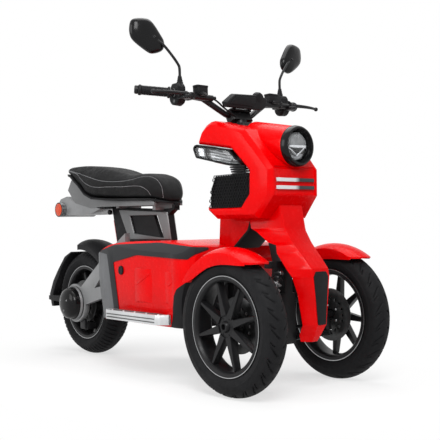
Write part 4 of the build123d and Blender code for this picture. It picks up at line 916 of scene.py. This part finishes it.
def make_controls():
    """Switch housings, brake reservoirs, perches and mirror boots."""
    shell, metal, screws, keys = bmesh.new(), bmesh.new(), bmesh.new(), bmesh.new()
    # switch housing: a tall rounded block with its split line, and a drum round the bar
    block = [*arc((0, -14), 20, 180, 360, 14), (20, 28), (12, 40), (-12, 40), (-20, 28)]
    for depth, y in ((17, 234), (17, 252.5)):
        put(shell, prism(block, depth, 3, 3), facing((1003, y, 1024.5), (0, 1, 0)))
    put(shell, prism([(x * 0.95, y * 0.95) for x, y in block], 37, 1), facing((1003, 233.5, 1024.5), (0, 1, 0)))
    put(shell, turned([(-17, 0), (-17, 24), (-13, 28), (14, 28), (18, 24), (18, 0)], 40, False),
        facing((1003, 254, 1015), (0, 1, 0.05)))
    for z, wide in ((1048, 12), (1030, 16), (1010, 11)):
        put(keys, brick((6, wide, 8), 2), Matrix.Translation((984, 251, z)))
        button = turned([(-2, 0), (-2, 6), (2, 6), (3, 4.5), (3, 0)], 20, False)
        put(keys, button, facing((1006, 271, z - 8), (0, 1, 0)))
    # reservoir with its lid
    tub = prism([(1015, -24), (1045, -24), (1045, 22), (1015, 22)], 27, 2)
    put(shell, tub, Matrix.Translation((0, 174, 1028)))
    lid = prism([(1014, -25), (1046, -25), (1046, 20), (1042, 25), (1018, 25), (1014, 20)], 8, 2)
    put(shell, lid, Matrix.Translation((0, 174, 1053.5)))
    for y in (158, 190):
        put(screws, bolt(3.0, 2.0), Matrix.Translation((1020 if y < 170 else 1040, y, 1060)))
    sight = turned([(-1, 0), (-1, 7.5), (1.6, 7.5), (1.6, 5.2), (0.6, 5.0), (0.6, 0)], 24, False)
    put(screws, sight, facing((1015, 174, 1042), (-1, 0, 0)))
    # cylinder, perch and clamp with its bolts
    put(metal, turned([(0, 0), (0, 8), (3, 11), (140, 11), (143, 9), (143, 0)], 32, False),
        facing((1032, 119, 1020), (0, 1, 0)))
    perch = prism([(-16, -24), (12, -24), (12, 24), (-16, 38)], 12, 2)
    put(metal, perch, facing((1028, 174, 1022), (0, 0, 1), (1, 0, 0)))
    put(metal, brick((44, 22, 26), 5, 3), Matrix.Translation((1020, 214, 1021)))
    put(metal, brick((46, 28, 10), 3), Matrix.Translation((1044, 258, 1009)))
    knuckle = turned([(-6, 0), (-6, 14), (-4, 16), (4, 16), (6, 14), (6, 0)], 32, False)
    put(metal, knuckle, Matrix.Translation((1056, 257, 1011)))
    for z in (1012, 1030):
        put(screws, bolt(3.8, 4), facing((1042, 214, z), (1, 0, 0)))
    put(screws, turned([(-2, 0), (-2, 7), (3, 7), (3, 5), (9, 5), (9, 7.5), (12, 7.5), (12, 0)], 6, False),
        facing((1032, 120, 1021), (0, -1, 0)))
    put(screws, bolt(5, 4), Matrix.Translation((1057, 258, 1026.5)))
    # mirror boss: nut and ribbed boot
    put(metal, turned([(0, 0), (0, 12), (9, 12), (9, 0)], 6, False), Matrix.Translation((1004, 244, 1060)))
    boot = [(6, 5.1), (6, 11.5)]
    for i in range(4):
        start, ridge, dip = i * 6, 11.4 - i * 1.3, 9.4 - i
        boot += [(8 + start, ridge), (11 + start, ridge), (12 + start, dip), (14 + start, dip)]
    boot += [(33, 6), (33, 5.1)]
    put(shell, turned(boot, 28), Matrix.Translation((1004, 244, 1060)))
    for shape in (shell, metal, screws, keys):
        both_sides(shape)
    place_piece("control_housings", shell, "handlebar", "black_plastic", ("controls",), rounding=0.6)
    place_piece("control_perches", metal, "handlebar", "black_steel")
    place_piece("control_keys", keys, "handlebar", "black_plastic", finish="dark_silver")
    place_piece("control_screws", screws, "handlebar", "steel", finish="dark_steel")


LEVER_LINE = ((1057, 252, 1021), (1060, 290, 1021), (1064, 330, 1020), (1061, 365, 1019), (1053, 392, 1018))
LEVER_SIDES = 14


def make_levers():
    """Flat blade levers with a ball at the end."""
    lever = bmesh.new()
    path = pipe_line([Vector(place) for place in LEVER_LINE])
    for spot, ahead in zip(path, path[1:] + [path[-1] * 2 - path[-2]]):
        share = (spot.y - 252) / 140
        wide = 7.5 - 2.6 * share
        deep = 5.2 - 1.2 * share
        at = facing(spot, ahead - spot)
        bmesh.ops.create_circle(
            lever, cap_ends=False, segments=LEVER_SIDES, radius=1, matrix=at @ Matrix.Diagonal((deep, wide, 1, 1))
        )
    lever.verts.ensure_lookup_table()
    for i in range(len(lever.verts) // LEVER_SIDES - 1):
        bmesh.ops.bridge_loops(lever, edges=list({
            edge
            for k in (i, i + 1)
            for vert in lever.verts[k * LEVER_SIDES:(k + 1) * LEVER_SIDES]
            for edge in vert.link_edges
            if all(end.index // LEVER_SIDES == k for end in edge.verts)
        }))
    bmesh.ops.holes_fill(lever, edges=lever.edges[:], sides=LEVER_SIDES)
    bmesh.ops.create_icosphere(lever, subdivisions=3, radius=8.2, matrix=Matrix.Translation((1052, 394, 1018)))
    put(lever, turned([(-5, 0), (-5, 11), (5, 11), (6, 10), (6, 0)], 32, False), Matrix.Translation((1057, 258, 1020.4)))
    place_piece(
        "brake_lever_blades", both_sides(lever), "handlebar", "aluminium", ("brake_levers",), finish="black_steel",
        angle=40,
    )


def make_display():
    """Wide instrument housing with its screen, a round key pod and two curved legs."""
    shell, screen, legs = bmesh.new(), bmesh.new(), bmesh.new()
    tilt = facing((1075, 0, 1024), (-1, 0, 0.2), (0.2, 0, 1))
    case = prism([(103, -22), (92, -38), (-70, -38), (-93, -24), (-93, 7), (-60, 17), (63, 12)], 30, 5, 3)
    put(shell, case, tilt @ Matrix.Translation((0, 0, -17)))
    panel = prism([(86, -24), (60, 4), (-34, 8), (-34, -12), (-20, -26)], 6, 2)
    put(shell, panel, tilt @ Matrix.Translation((0, 0, -20)))
    pane = prism([(-62, -28), (70, -28), (84, -18), (56, 6), (-58, 10), (-76, -4)], 1.6, 0.5)
    put(screen, pane, tilt @ Matrix.Translation((0, 0, 12.6)))
    pod = turned([(-12, 0), (-12, 14), (-9, 19), (-2, 22), (10, 22), (14, 20), (14, 15), (11, 13), (11, 0)], 40, False)
    put(shell, pod, tilt @ Matrix.Translation((-56, 6, -6)))
    for side in (-34, 34):
        leg = [(1043, side, 985), (1058, side * 1.1, 990), (1070, side * 1.2, 1004), (1074, side * 1.2, 1016)]
        put(legs, pipe(leg, 6))
    put(legs, brick((16, 96, 7), 2.5), Matrix.Translation((1046, 0, 984)))
    place_piece("display_case", shell, "handlebar", "black_plastic", ("display",))
    place_piece("display_screen", screen, "handlebar", "black_plastic", finish="black_gloss")
    place_piece("display_legs", legs, "handlebar", "black_plastic")


HOSE_POINTS = (
    (1032, 118, 1020), (1040, 104, 1010), (1046, 86, 992), (1056, 66, 974), (1064, 48, 962), (1058, 30, 955),
)


def make_hoses():
    """Brake hoses from the master cylinders round into the bar clamp."""
    for side, name in ((1, "brake_hose_left"), (-1, "brake_hose_right")):
        curve = bpy.data.curves.new(name, "CURVE")
        curve.dimensions = "3D"
        curve.bevel_depth = 0.0035
        curve.bevel_resolution = 4
        curve.use_fill_caps = True
        spline = curve.splines.new("NURBS")
        spline.points.add(len(HOSE_POINTS) - 1)
        for point, (x, y, z) in zip(spline.points, HOSE_POINTS):
            point.co = (*(TO_FRAME @ Vector((x, side * y, z))), 1)
        spline.order_u = 3
        spline.use_endpoint_u = True
        spline.resolution_u = 12
        curve.materials.append(finishes["hose_rubber"])
        hose = bpy.data.objects.new(name, curve)
        bpy.context.scene.collection.objects.link(hose)
        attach(hose, "handlebar")
        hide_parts("brake_hoses")


# ---------------------------------------------------------------- suspension
def make_shocks():
    """Coil-over shocks: spring, damper body, rod, seats and end eyes."""
    low_y, high_y = 112.0, 62.0
    box_low, box_high = cad_mm("front_shocks")
    low = Vector((1272, low_y, box_low.z + 6))
    high = Vector((box_high.x - 8, high_y, box_high.z - 4))
    coil, parts, rods = bmesh.new(), bmesh.new(), bmesh.new()
    run = high - low
    at = facing(low, run)
    length = run.length
    turns, start, end = 8.5, 34.0, length - 34.0
    wire = []
    for i in range(int(turns * 14) + 1):
        share = i / (turns * 14)
        angle = math.tau * turns * share
        wire.append((15.2 * math.cos(angle), 15.2 * math.sin(angle), start + (end - start) * share))
    put(coil, pipe(wire, 3.0, resolution=1), at)
    put(parts, turned([(26, 0), (26, 15), (29, 18), (32, 18), (33, 10), (110, 10), (112, 8), (112, 0)], 32, False), at)
    put(parts, turned([(length - 33, 0), (length - 33, 12), (length - 31, 18), (length - 27, 18), (length - 22, 12),
                       (length - 12, 9), (length - 12, 0)], 32, False), at)
    put(rods, turned([(6, 0), (6, 5), (length - 8, 5), (length - 8, 0)], 24, False), at)
    for place in (low + run.normalized() * 8, high - run.normalized() * 8):
        eye = turned([(-12, 4), (-12, 11), (-10, 13), (10, 13), (12, 11), (12, 4)], 28)
        put(parts, eye, facing(place, (1, 0, 0.2)))
        put(rods, bolt(8, 4), facing(place + Vector((12, 0, 2.4)), (1, 0, 0.2)))
    place_piece("shock_springs", both_sides(coil), "chassis", "black_steel", ("front_shocks",), finish="silver_paint")
    place_piece("shock_bodies", both_sides(parts), "chassis", "black_steel")
    place_piece("shock_rods", both_sides(rods), "chassis", "steel")


# ---------------------------------------------------------------- rear end
def make_tail_lights():
    """Round reflectors in dark cups, and the rear strip lamp."""
    cups, lenses = bmesh.new(), bmesh.new()
    at = facing((-149, 94, 664), (0, 1, 0))
    put(cups, turned([(-24, 34), (-2, 34), (1.5, 33), (1.5, 30), (-1, 29.5), (-1, 29), (-24, 29)], 56), at)
    lens = turned([(-2, 0), (-2, 29.4), (1, 29), (3, 24), (4.2, 12), (4.6, 0)], 56, False)
    put(lenses, lens, at)
    for ring in (9, 15, 21):
        crest = 4.9 - ring * 0.04
        ridge = turned([(2, ring - 0.7), (crest, ring - 0.5), (crest, ring + 0.5), (2, ring + 0.7)], 48)
        put(lenses, ridge, at)
    both_sides(cups)
    both_sides(lenses)
    strip = brick((8, 110, 22), 2.5, 3)
    put(lenses, strip, Matrix.Translation((-200, 0, 677)))
    for i in range(11):
        put(lenses, brick((2, 6, 17), 0.6, 1), Matrix.Translation((-203.2, -47 + i * 9.4, 677)))
    place_piece("reflector_cups", cups, "chassis", "black_plastic", finish="black_gloss")
    place_piece("tail_lenses", lenses, "chassis", "lamp_red", ("tail_lights",))


def make_hub_covers():
    """Domed dark covers over the wheel's axle ends, with a bright ring and bolts."""
    covers, rings = bmesh.new(), bmesh.new()
    at = facing((0, 102, 236), (0, 1, 0))
    dome = turned(
        [(0, 60), (0, 76), (3, 76), (14, 74), (15, 71), (30, 69), (40, 66), (47, 60), (53, 50), (58, 36), (60.5, 18),
         (61.5, 0), (52, 0), (46, 40), (20, 60)], 72, False,
    )
    put(covers, dome, at)
    put(rings, turned([(4, 74), (4.5, 77), (11, 77), (15, 75.5), (14, 72)], 72), at)
    for i in range(3):
        turn = Matrix.Rotation(math.tau * i / 3 + 0.5, 4, "Z")
        put(rings, bolt(4.2, 4), at @ turn @ Matrix.Translation((30, 0, 57.5)))
    place_piece(
        "hub_domes", both_sides(covers), "chassis", "silver_paint", ("hub_covers",), finish="black_gloss", angle=40
    )
    place_piece("hub_rings", both_sides(rings), "chassis", "silver_paint")


def make_board_fittings():
    """Grooved bright plates and bolts on the running boards."""
    plates, bolts = bmesh.new(), bmesh.new()
    top = 245.0
    for y in (226, 231, 236, 241, 246):
        rail = prism([(520, y), (850, y + 3), (850, y + 5), (520, y + 2)], 1.2, 0.4, 1)
        put(plates, rail, Matrix.Translation((0, 0, top - 0.2)))
    for low in (216, 228):
        rail = prism([(505, 252.5), (850, 267.2), (850, 268.6), (505, 253.9)], 4, 0.4, 1)
        put(plates, rail, Matrix.Translation((0, 0, low)))
    for x in (540, 620, 700, 780, 860):
        put(bolts, bolt(4.2, 3), Matrix.Translation((x, 255 - (860 - x) * 0.03, top)))
    place_piece("board_strips", both_sides(plates), "chassis", "black_plastic", finish="dark_silver")
    place_piece("board_bolts", both_sides(bolts), "chassis", "aluminium")


def body_wall(side, depth):
    """Drawing plane against the body's side at the middle of its length."""
    matrix = Matrix(((1, 0, 0), (0, 0, 1), (0, side, 0))).transposed().to_4x4()
    matrix.translation = Vector((0, side * (212.0 + depth), 0))
    return matrix


def make_side_panels():
    """Raised pressings on the body's sides, and the charging socket's cover."""
    panels, port = bmesh.new(), bmesh.new()
    for side in (1, -1):
        for x0, x1, z0, z1, out in ((659, 775, 282, 411, 8.6), (862, 960, 282, 402, 12.6)):
            panel = prism([(x0, z0), (x1, z0 - 2), (x1, z1 - 2), (x0, z1)], 12, 3.5, 2)
            put(panels, panel, body_wall(side, out - 12))
            bar = prism([(x0 + 14, z0 + 62), (x1 - 16, z1 - 26), (x1 - 16, z1 - 16), (x0 + 14, z0 + 74)], 12, 2, 2)
            put(panels, bar, body_wall(side, out - 10.4))
        cap = turned([(-6, 0), (-6, 18), (2, 18), (4, 16.5), (4, 13), (2.4, 12), (2.4, 0)], 40, False)
        put(port, cap, facing((546, side * 208, 399), (-0.12, side, 0)))
    place_piece("side_pressings", panels, "chassis", "red_paint", angle=50)
    place_piece("charging_caps", port, "chassis", "black_plastic")


# ---------------------------------------------------------------- small parts
def make_wheel_fittings():
    """Caps and bolts of the wheels, and the bolts of the discs."""
    for name, outward in (("front_left", 1), ("front_right", -1)):
        at = wheel_matrix(name + "_tyre", outward)
        caps = bmesh.new()
        put(caps, turned([(20, 10), (20, 37), (24, 39), (27, 37), (29, 20), (36, 18), (40, 15), (40, 10)], 48), at)
        for i in range(6):
            put(caps, bolt(3, 3), at @ Matrix.Rotation(math.tau * i / 6, 4, "Z") @ Matrix.Translation((29, 0, 26.5)))
        place_piece(name + "_hub_cap", caps, name + "_wheel", "black_steel")
        bolts = bmesh.new()
        for i in range(5):
            put(bolts, bolt(4.4, 4), at @ Matrix.Rotation(math.tau * i / 5, 4, "Z")
                @ Matrix.Translation((34, 0, -28)) @ Matrix.Rotation(math.pi, 4, "X"))
        place_piece(name + "_disc_bolts", bolts, name + "_wheel", "steel")


def make_tyres(grooves):
    """Three tyres with their own treads."""
    for name, body in (("front_left", "front_left_wheel"), ("front_right", "front_right_wheel")):
        at = wheel_matrix(name + "_tyre", 1 if "left" in name else -1)
        tyre = bmesh.new()
        put(tyre, treaded_tyre(233, 92, 64, 26, ROAD_TREAD, grooves, 720), at)
        place_piece(name + "_tyre_tread", tyre, body, "tyre_rubber", (name + "_tyre",), angle=50)
    tyre = bmesh.new()
    put(tyre, treaded_tyre(236, 122, 90, 64, BLOCK_TREAD, grooves, 900), facing(cad_middle("rear_tyre"), (0, -1, 0)))
    place_piece("rear_tyre_tread", tyre, "rear_wheel", "tyre_rubber", ("rear_tyre",), angle=50)


def lip_rings(rim_w):
    """Bright rings on both lips of a rim."""
    rings = bmesh.new()
    half = rim_w / 2
    for side in (1, -1):
        ring = turned(
            [(half + 4, 163.4), (half + 4, 165.5), (half + 5.2, 165.7), (half + 5.3, 164.8), (half + 5, 163.4)], 96
        )
        put(rings, ring, Matrix.Scale(side, 4, (0, 0, 1)))
    return rings


def make_rims():
    """Front rims with eight ridged blades, and the rear rim round its motor."""
    for name in ("front_left", "front_right"):
        at = wheel_matrix(name + "_tyre", 1 if "left" in name else -1)
        rim = bmesh.new()
        turn = Matrix.Rotation(math.radians(15.5 if "right" in name else 7.0), 4, "Z")
        put(rim, blade_rim(64, 38, 24, 8, 15, 6, 6, 24), at @ turn)
        place_piece(name + "_blades", rim, name + "_wheel", "black_steel", (name + "_rim",), angle=28)
        rings = bmesh.new()
        put(rings, lip_rings(64), at)
        place_piece(name + "_lip_rings", rings, name + "_wheel", "aluminium", finish="steel")
    at = facing(cad_middle("rear_tyre"), (0, -1, 0))
    rim = bmesh.new()
    put(rim, blade_rim(90, 80, 38, 10, 12, 9, -14, 14), at)
    for side in (1, -1):
        fins = turned(
            [(34, 30), (34, 74), (38.6, 74), (38.6, 66), (37, 64), (37, 58), (38.6, 56), (38.6, 46), (37, 44),
             (37, 30)], 72,
        )
        put(rim, fins, at @ Matrix.Scale(side, 4, (0, 0, 1)))
    place_piece("rear_motor_rim", rim, "rear_wheel", "black_steel", ("rear_rim_motor",), angle=28)
    rings = bmesh.new()
    put(rings, lip_rings(90), at)
    place_piece("rear_lip_rings", rings, "rear_wheel", "aluminium", finish="steel")


def make_post_fittings():
    """The stripe on the seat post's rear edge and the knobs above it."""
    stripe = prism([(196, 604), (204, 604), (229, 500), (221, 500)], 26, 1)
    stripe.transform(facing((0, 13, 0), (0, -1, 0)))
    place_piece("post_stripe", stripe, "chassis", "red_paint")
    knobs = turned([(0, 0), (0, 9), (3, 11), (12, 11), (15, 8), (15, 0)], 28, False)
    knobs.transform(facing((190, 20, 640), (0, 1, 0)))
    place_piece("seat_lock_knobs", both_sides(knobs), "chassis", "black_plastic")


# ---------------------------------------------------------------- CAD parts
FINE_EDGES = {"tail_housing": 6.0, "swingarm": 4.0, "seat_post": 3.0, "body_shell": 1.6, "front_cowl": 1.5}
OTHER_FINISH = {
    "body_shell": "body_red", "neck_cover": "neck_red", "seat_post_trims": "brushed_silver",
    "nose_plate": "black_plastic",
    "side_trims": "side_trim", "running_boards": "aluminium", "seat_rails": "brushed_silver",
    "bar_clamp": "black_steel", "front_left_caliper": "black_steel", "front_right_caliper": "black_steel",
    "rear_caliper": "black_steel", "front_left_brake_disc": "dark_steel", "front_right_brake_disc": "dark_steel",
    "rear_brake_disc": "dark_steel", "hub_covers": "black_gloss",
}


def rounding_group():
    """Geometry nodes that shade a mesh smooth between its sharp edges."""
    group = bpy.data.node_groups.new("smooth_shading", "GeometryNodeTree")
    group.interface.new_socket("Geometry", in_out="INPUT", socket_type="NodeSocketGeometry")
    group.interface.new_socket("Geometry", in_out="OUTPUT", socket_type="NodeSocketGeometry")
    start, end = group.nodes.new("NodeGroupInput"), group.nodes.new("NodeGroupOutput")
    smooth = group.nodes.new("GeometryNodeSetShadeSmooth")
    sharp = group.nodes.new("GeometryNodeSetShadeSmooth")
    sharp.domain = "EDGE"
    sharp.inputs["Shade Smooth"].default_value = False
    angle = group.nodes.new("GeometryNodeInputMeshEdgeAngle")
    over = group.nodes.new("FunctionNodeCompare")
    over.operation = "GREATER_THAN"
    over.inputs[1].default_value = math.radians(28)
    group.links.new(start.outputs[0], smooth.inputs["Geometry"])
    group.links.new(smooth.outputs[0], sharp.inputs["Geometry"])
    group.links.new(angle.outputs[0], over.inputs[0])
    group.links.new(over.outputs[0], sharp.inputs["Selection"])
    group.links.new(sharp.outputs[0], end.inputs[0])
    return group


def dress_cad_parts(edge):
    """Gives each CAD part its finish, rounded edges and smooth shading."""
    group = rounding_group()
    slots = {row["node"]: row["material_slot"] for row in frame["record"]["subparts"]}
    for name, part in nodes.items():
        part.data.materials.clear()
        part.data.materials.append(finishes[OTHER_FINISH.get(name, slots[name])])
        weld = part.modifiers.new("weld", "WELD")
        weld.merge_threshold = 0.00002
        bevel = part.modifiers.new("edges", "BEVEL")
        bevel.width = FINE_EDGES.get(name, edge) / 1000
        bevel.segments = 2
        bevel.limit_method = "ANGLE"
        bevel.angle_limit = math.radians(28)
        shade = part.modifiers.new("shading", "NODES")
        shade.node_group = group


# ---------------------------------------------------------------- stage
def seen_white(tree):
    """1 for the camera, glossy and glass rays, 0 for the rest."""
    path = tree.nodes.new("ShaderNodeLightPath")
    value = path.outputs["Is Camera Ray"]
    for other in ("Is Glossy Ray", "Is Transmission Ray"):
        larger = tree.nodes.new("ShaderNodeMath")
        larger.operation = "MAXIMUM"
        tree.links.new(value, larger.inputs[0])
        tree.links.new(path.outputs[other], larger.inputs[1])
        value = larger.outputs[0]
    return value


def make_floor(size):
    """Pale floor that keeps the shadow under the scooter and turns plain white away from it."""
    shape = bmesh.new()
    bmesh.ops.create_grid(shape, x_segments=1, y_segments=1, size=size / 2)
    mesh = bpy.data.meshes.new("floor")
    shape.to_mesh(mesh)
    shape.free()
    floor = bpy.data.objects.new("floor", mesh)
    bpy.context.scene.collection.objects.link(floor)
    material, tree, shader = new_material("floor", (0.95, 0.95, 0.95), 0.9, shine=0.0)
    mesh.materials.append(material)
    place = tree.nodes.new("ShaderNodeMapping")
    place.inputs["Scale"].default_value = (0.62, 1.0, 1.0)
    tree.links.new(object_coords(tree), place.inputs["Vector"])
    distance = tree.nodes.new("ShaderNodeVectorMath")
    distance.operation = "LENGTH"
    tree.links.new(place.outputs["Vector"], distance.inputs[0])
    away = remap(tree, distance.outputs["Value"], 0.62, 1.0, 0.45, 0.85)
    share = tree.nodes.new("ShaderNodeMath")
    share.operation = "MULTIPLY"
    tree.links.new(away, share.inputs[0])
    tree.links.new(seen_white(tree), share.inputs[1])
    glow = tree.nodes.new("ShaderNodeEmission")
    glow.inputs["Color"].default_value = (1, 1, 1, 1)
    glow.inputs["Strength"].default_value = 1.0
    mix = tree.nodes.new("ShaderNodeMixShader")
    tree.links.new(share.outputs[0], mix.inputs[0])
    tree.links.new(shader.outputs[0], mix.inputs[1])
    tree.links.new(glow.outputs[0], mix.inputs[2])
    tree.links.new(mix.outputs[0], tree.nodes["Material Output"].inputs["Surface"])


def make_surroundings(strength):
    """World that lights the object softly and looks white."""
    scene = bpy.context.scene
    scene.view_settings.view_transform = "Standard"
    world = bpy.data.worlds.new("surroundings")
    scene.world = world
    world.use_nodes = True
    tree = world.node_tree
    light = tree.nodes["Background"]
    light.inputs["Color"].default_value = (1, 1, 1, 1)
    light.inputs["Strength"].default_value = strength
    white = tree.nodes.new("ShaderNodeBackground")
    white.inputs["Color"].default_value = (1, 1, 1, 1)
    white.inputs["Strength"].default_value = 1.0
    mix = tree.nodes.new("ShaderNodeMixShader")
    tree.links.new(seen_white(tree), mix.inputs[0])
    tree.links.new(light.outputs[0], mix.inputs[1])
    tree.links.new(white.outputs[0], mix.inputs[2])
    tree.links.new(mix.outputs[0], tree.nodes["World Output"].inputs["Surface"])


def add_lamps():
    for name, place, power, size in (
        ("key", (2.4, -1.6, 2.6), 80, 1.4), ("side", (-0.6, -3.2, 1.8), 42, 1.8), ("top", (0, 0.4, 3.2), 52, 2.2),
    ):
        lamp = bpy.data.lights.new(name, "AREA")
        lamp.energy = power
        lamp.size = size
        holder = bpy.data.objects.new(name, lamp)
        holder.location = place
        holder.rotation_euler = (Vector((0.1, 0, 0.5)) - Vector(place)).to_track_quat("-Z", "Y").to_euler()
        bpy.context.scene.collection.objects.link(holder)


def add_camera():
    camera = bpy.data.cameras.new("camera")
    camera.lens = 68.0
    camera.sensor_width = 36.0
    holder = bpy.data.objects.new("camera", camera)
    place, aim = Vector((2.7277, -2.0159, 0.5367)), Vector((0.19405, 0.10574, 0.58885))
    turn = (aim - place).to_track_quat("-Z", "Y").to_matrix() @ Matrix.Rotation(math.radians(-1.34), 3, "Z")
    holder.matrix_world = Matrix.Translation(place) @ turn.to_4x4()
    bpy.context.scene.collection.objects.link(holder)
    bpy.context.scene.camera = holder


# ---------------------------------------------------------------- add-on
class ScooterSizes(bpy.types.PropertyGroup):
    """Sizes of the scooter's detailed pieces."""

    stitch_radius: bpy.props.FloatProperty(
        name="Stitch radius", description="Radius of a stitch on the seat",
        default=0.0011, min=0.0004, unit="LENGTH",
    )
    grille_cell: bpy.props.FloatProperty(
        name="Grille cell", description="Radius of a cell of the side grilles",
        default=0.007, min=0.003, unit="LENGTH",
    )
    groove_depth: bpy.props.FloatProperty(
        name="Groove depth", description="Depth of the tyres' grooves", default=0.005, min=0.0, unit="LENGTH"
    )
    part_edge: bpy.props.FloatProperty(
        name="Part edge", description="Rounding of the CAD parts' edges", default=0.0012, min=0.0, unit="LENGTH"
    )
    floor_size: bpy.props.FloatProperty(
        name="Floor size", description="Side of the floor", default=14.0, min=4.0, unit="LENGTH"
    )
    sky_strength: bpy.props.FloatProperty(
        name="Sky strength", description="Strength of the soft light all round",
        default=0.3, min=0.0, subtype="FACTOR",
    )


class ScooterColours(bpy.types.PropertyGroup):
    """Colours of the scooter's paints and plastics."""

    red: bpy.props.FloatVectorProperty(
        name="Red", description="Paint of the body, cowl, nose and mudguards", default=(0.74, 0.0, 0.001),
        min=0.0, max=1.0, subtype="COLOR",
    )
    black: bpy.props.FloatVectorProperty(
        name="Black", description="Plastics, rubber and dark steel", default=(0.011, 0.011, 0.012),
        min=0.0, max=1.0, subtype="COLOR",
    )
    silver: bpy.props.FloatVectorProperty(
        name="Silver", description="Silver paint and bright metal", default=(0.72, 0.73, 0.74),
        min=0.0, max=1.0, subtype="COLOR",
    )


class SCOOTER_OT_stage(bpy.types.Operator):
    """Makes the finishes, the floor, the soft light and the camera"""

    bl_idname = "scooter.stage"
    bl_label = "Stage"

    def execute(self, context):
        colours = context.scene.scooter_colours
        finishes.update(make_finishes(tuple(colours.red), tuple(colours.black), tuple(colours.silver)))
        make_surroundings(context.scene.scooter_sizes.sky_strength)
        make_floor(context.scene.scooter_sizes.floor_size)
        add_lamps()
        add_camera()
        return {"FINISHED"}


class SCOOTER_OT_cad_parts(bpy.types.Operator):
    """Gives the CAD parts their finishes and rounded edges"""

    bl_idname = "scooter.cad_parts"
    bl_label = "CAD parts"

    def execute(self, context):
        dress_cad_parts(context.scene.scooter_sizes.part_edge * 1000)
        return {"FINISHED"}


class SCOOTER_OT_seat(bpy.types.Operator):
    """Makes the padded seat with its seams and stitches"""

    bl_idname = "scooter.seat"
    bl_label = "Seat"

    def execute(self, context):
        make_seat(context.scene.scooter_sizes.stitch_radius)
        return {"FINISHED"}


class SCOOTER_OT_front(bpy.types.Operator):
    """Makes the headlamp, the side lamps and the side grilles"""

    bl_idname = "scooter.front"
    bl_label = "Lamps and grilles"

    def execute(self, context):
        make_headlamp()
        make_side_lamps()
        make_grilles(context.scene.scooter_sizes.grille_cell * 1000)
        return {"FINISHED"}


class SCOOTER_OT_hoses(bpy.types.Operator):
    """Makes the two brake hoses"""

    bl_idname = "scooter.hoses"
    bl_label = "Brake hoses"

    def execute(self, context):
        make_hoses()
        return {"FINISHED"}


class SCOOTER_OT_handlebar(bpy.types.Operator):
    """Makes the mirrors, grips, controls, levers and display"""

    bl_idname = "scooter.handlebar"
    bl_label = "Handlebar"

    def execute(self, context):
        make_mirrors()
        make_grips()
        make_controls()
        make_levers()
        make_display()
        return {"FINISHED"}


class SCOOTER_OT_wheels(bpy.types.Operator):
    """Makes the tyres with their treads, the rims and the wheels' fittings"""

    bl_idname = "scooter.wheels"
    bl_label = "Wheels"

    def execute(self, context):
        make_tyres(context.scene.scooter_sizes.groove_depth * 1000)
        make_rims()
        make_wheel_fittings()
        return {"FINISHED"}


class SCOOTER_OT_body(bpy.types.Operator):
    """Makes the side pressings, the running boards' strips and the seat post's fittings"""

    bl_idname = "scooter.body"
    bl_label = "Body"

    def execute(self, context):
        make_side_panels()
        make_board_fittings()
        make_post_fittings()
        return {"FINISHED"}


class SCOOTER_OT_running_gear(bpy.types.Operator):
    """Makes the front shocks, the hub covers and the tail lights"""

    bl_idname = "scooter.running_gear"
    bl_label = "Running gear"

    def execute(self, context):
        make_shocks()
        make_hub_covers()
        make_tail_lights()
        return {"FINISHED"}


class SCOOTER_PT_panel(bpy.types.Panel):
    """Sizes, colours and pieces of the scooter"""

    bl_idname = "SCOOTER_PT_panel"
    bl_label = "Electric motor scooter"
    bl_space_type = "VIEW_3D"
    bl_region_type = "UI"
    bl_category = "Scooter"

    def draw(self, context):
        for group in (context.scene.scooter_sizes, context.scene.scooter_colours):
            column = self.layout.column(align=True)
            for name in group.bl_rna.properties.keys():
                if name not in ("rna_type", "name"):
                    column.prop(group, name)
        column = self.layout.column(align=True)
        for operator in operators:
            column.operator(operator.bl_idname)


operators = (
    SCOOTER_OT_stage, SCOOTER_OT_hoses, SCOOTER_OT_cad_parts, SCOOTER_OT_seat, SCOOTER_OT_front, SCOOTER_OT_handlebar,
    SCOOTER_OT_wheels, SCOOTER_OT_body, SCOOTER_OT_running_gear,
)
classes = (ScooterSizes, ScooterColours, *operators, SCOOTER_PT_panel)


def register():
    for item in classes:
        bpy.utils.register_class(item)
    bpy.types.Scene.scooter_sizes = bpy.props.PointerProperty(type=ScooterSizes)
    bpy.types.Scene.scooter_colours = bpy.props.PointerProperty(type=ScooterColours)


def unregister():
    del bpy.types.Scene.scooter_colours
    del bpy.types.Scene.scooter_sizes
    for item in reversed(classes):
        bpy.utils.unregister_class(item)


def main():
    register()
    bpy.ops.scooter.stage()
    bpy.ops.scooter.hoses()
    bpy.ops.scooter.cad_parts()
    bpy.ops.scooter.handlebar()
    bpy.ops.scooter.seat()
    bpy.ops.scooter.front()
    bpy.ops.scooter.running_gear()
    bpy.ops.scooter.body()
    bpy.ops.scooter.wheels()


if __name__ == "__main__":
    main()
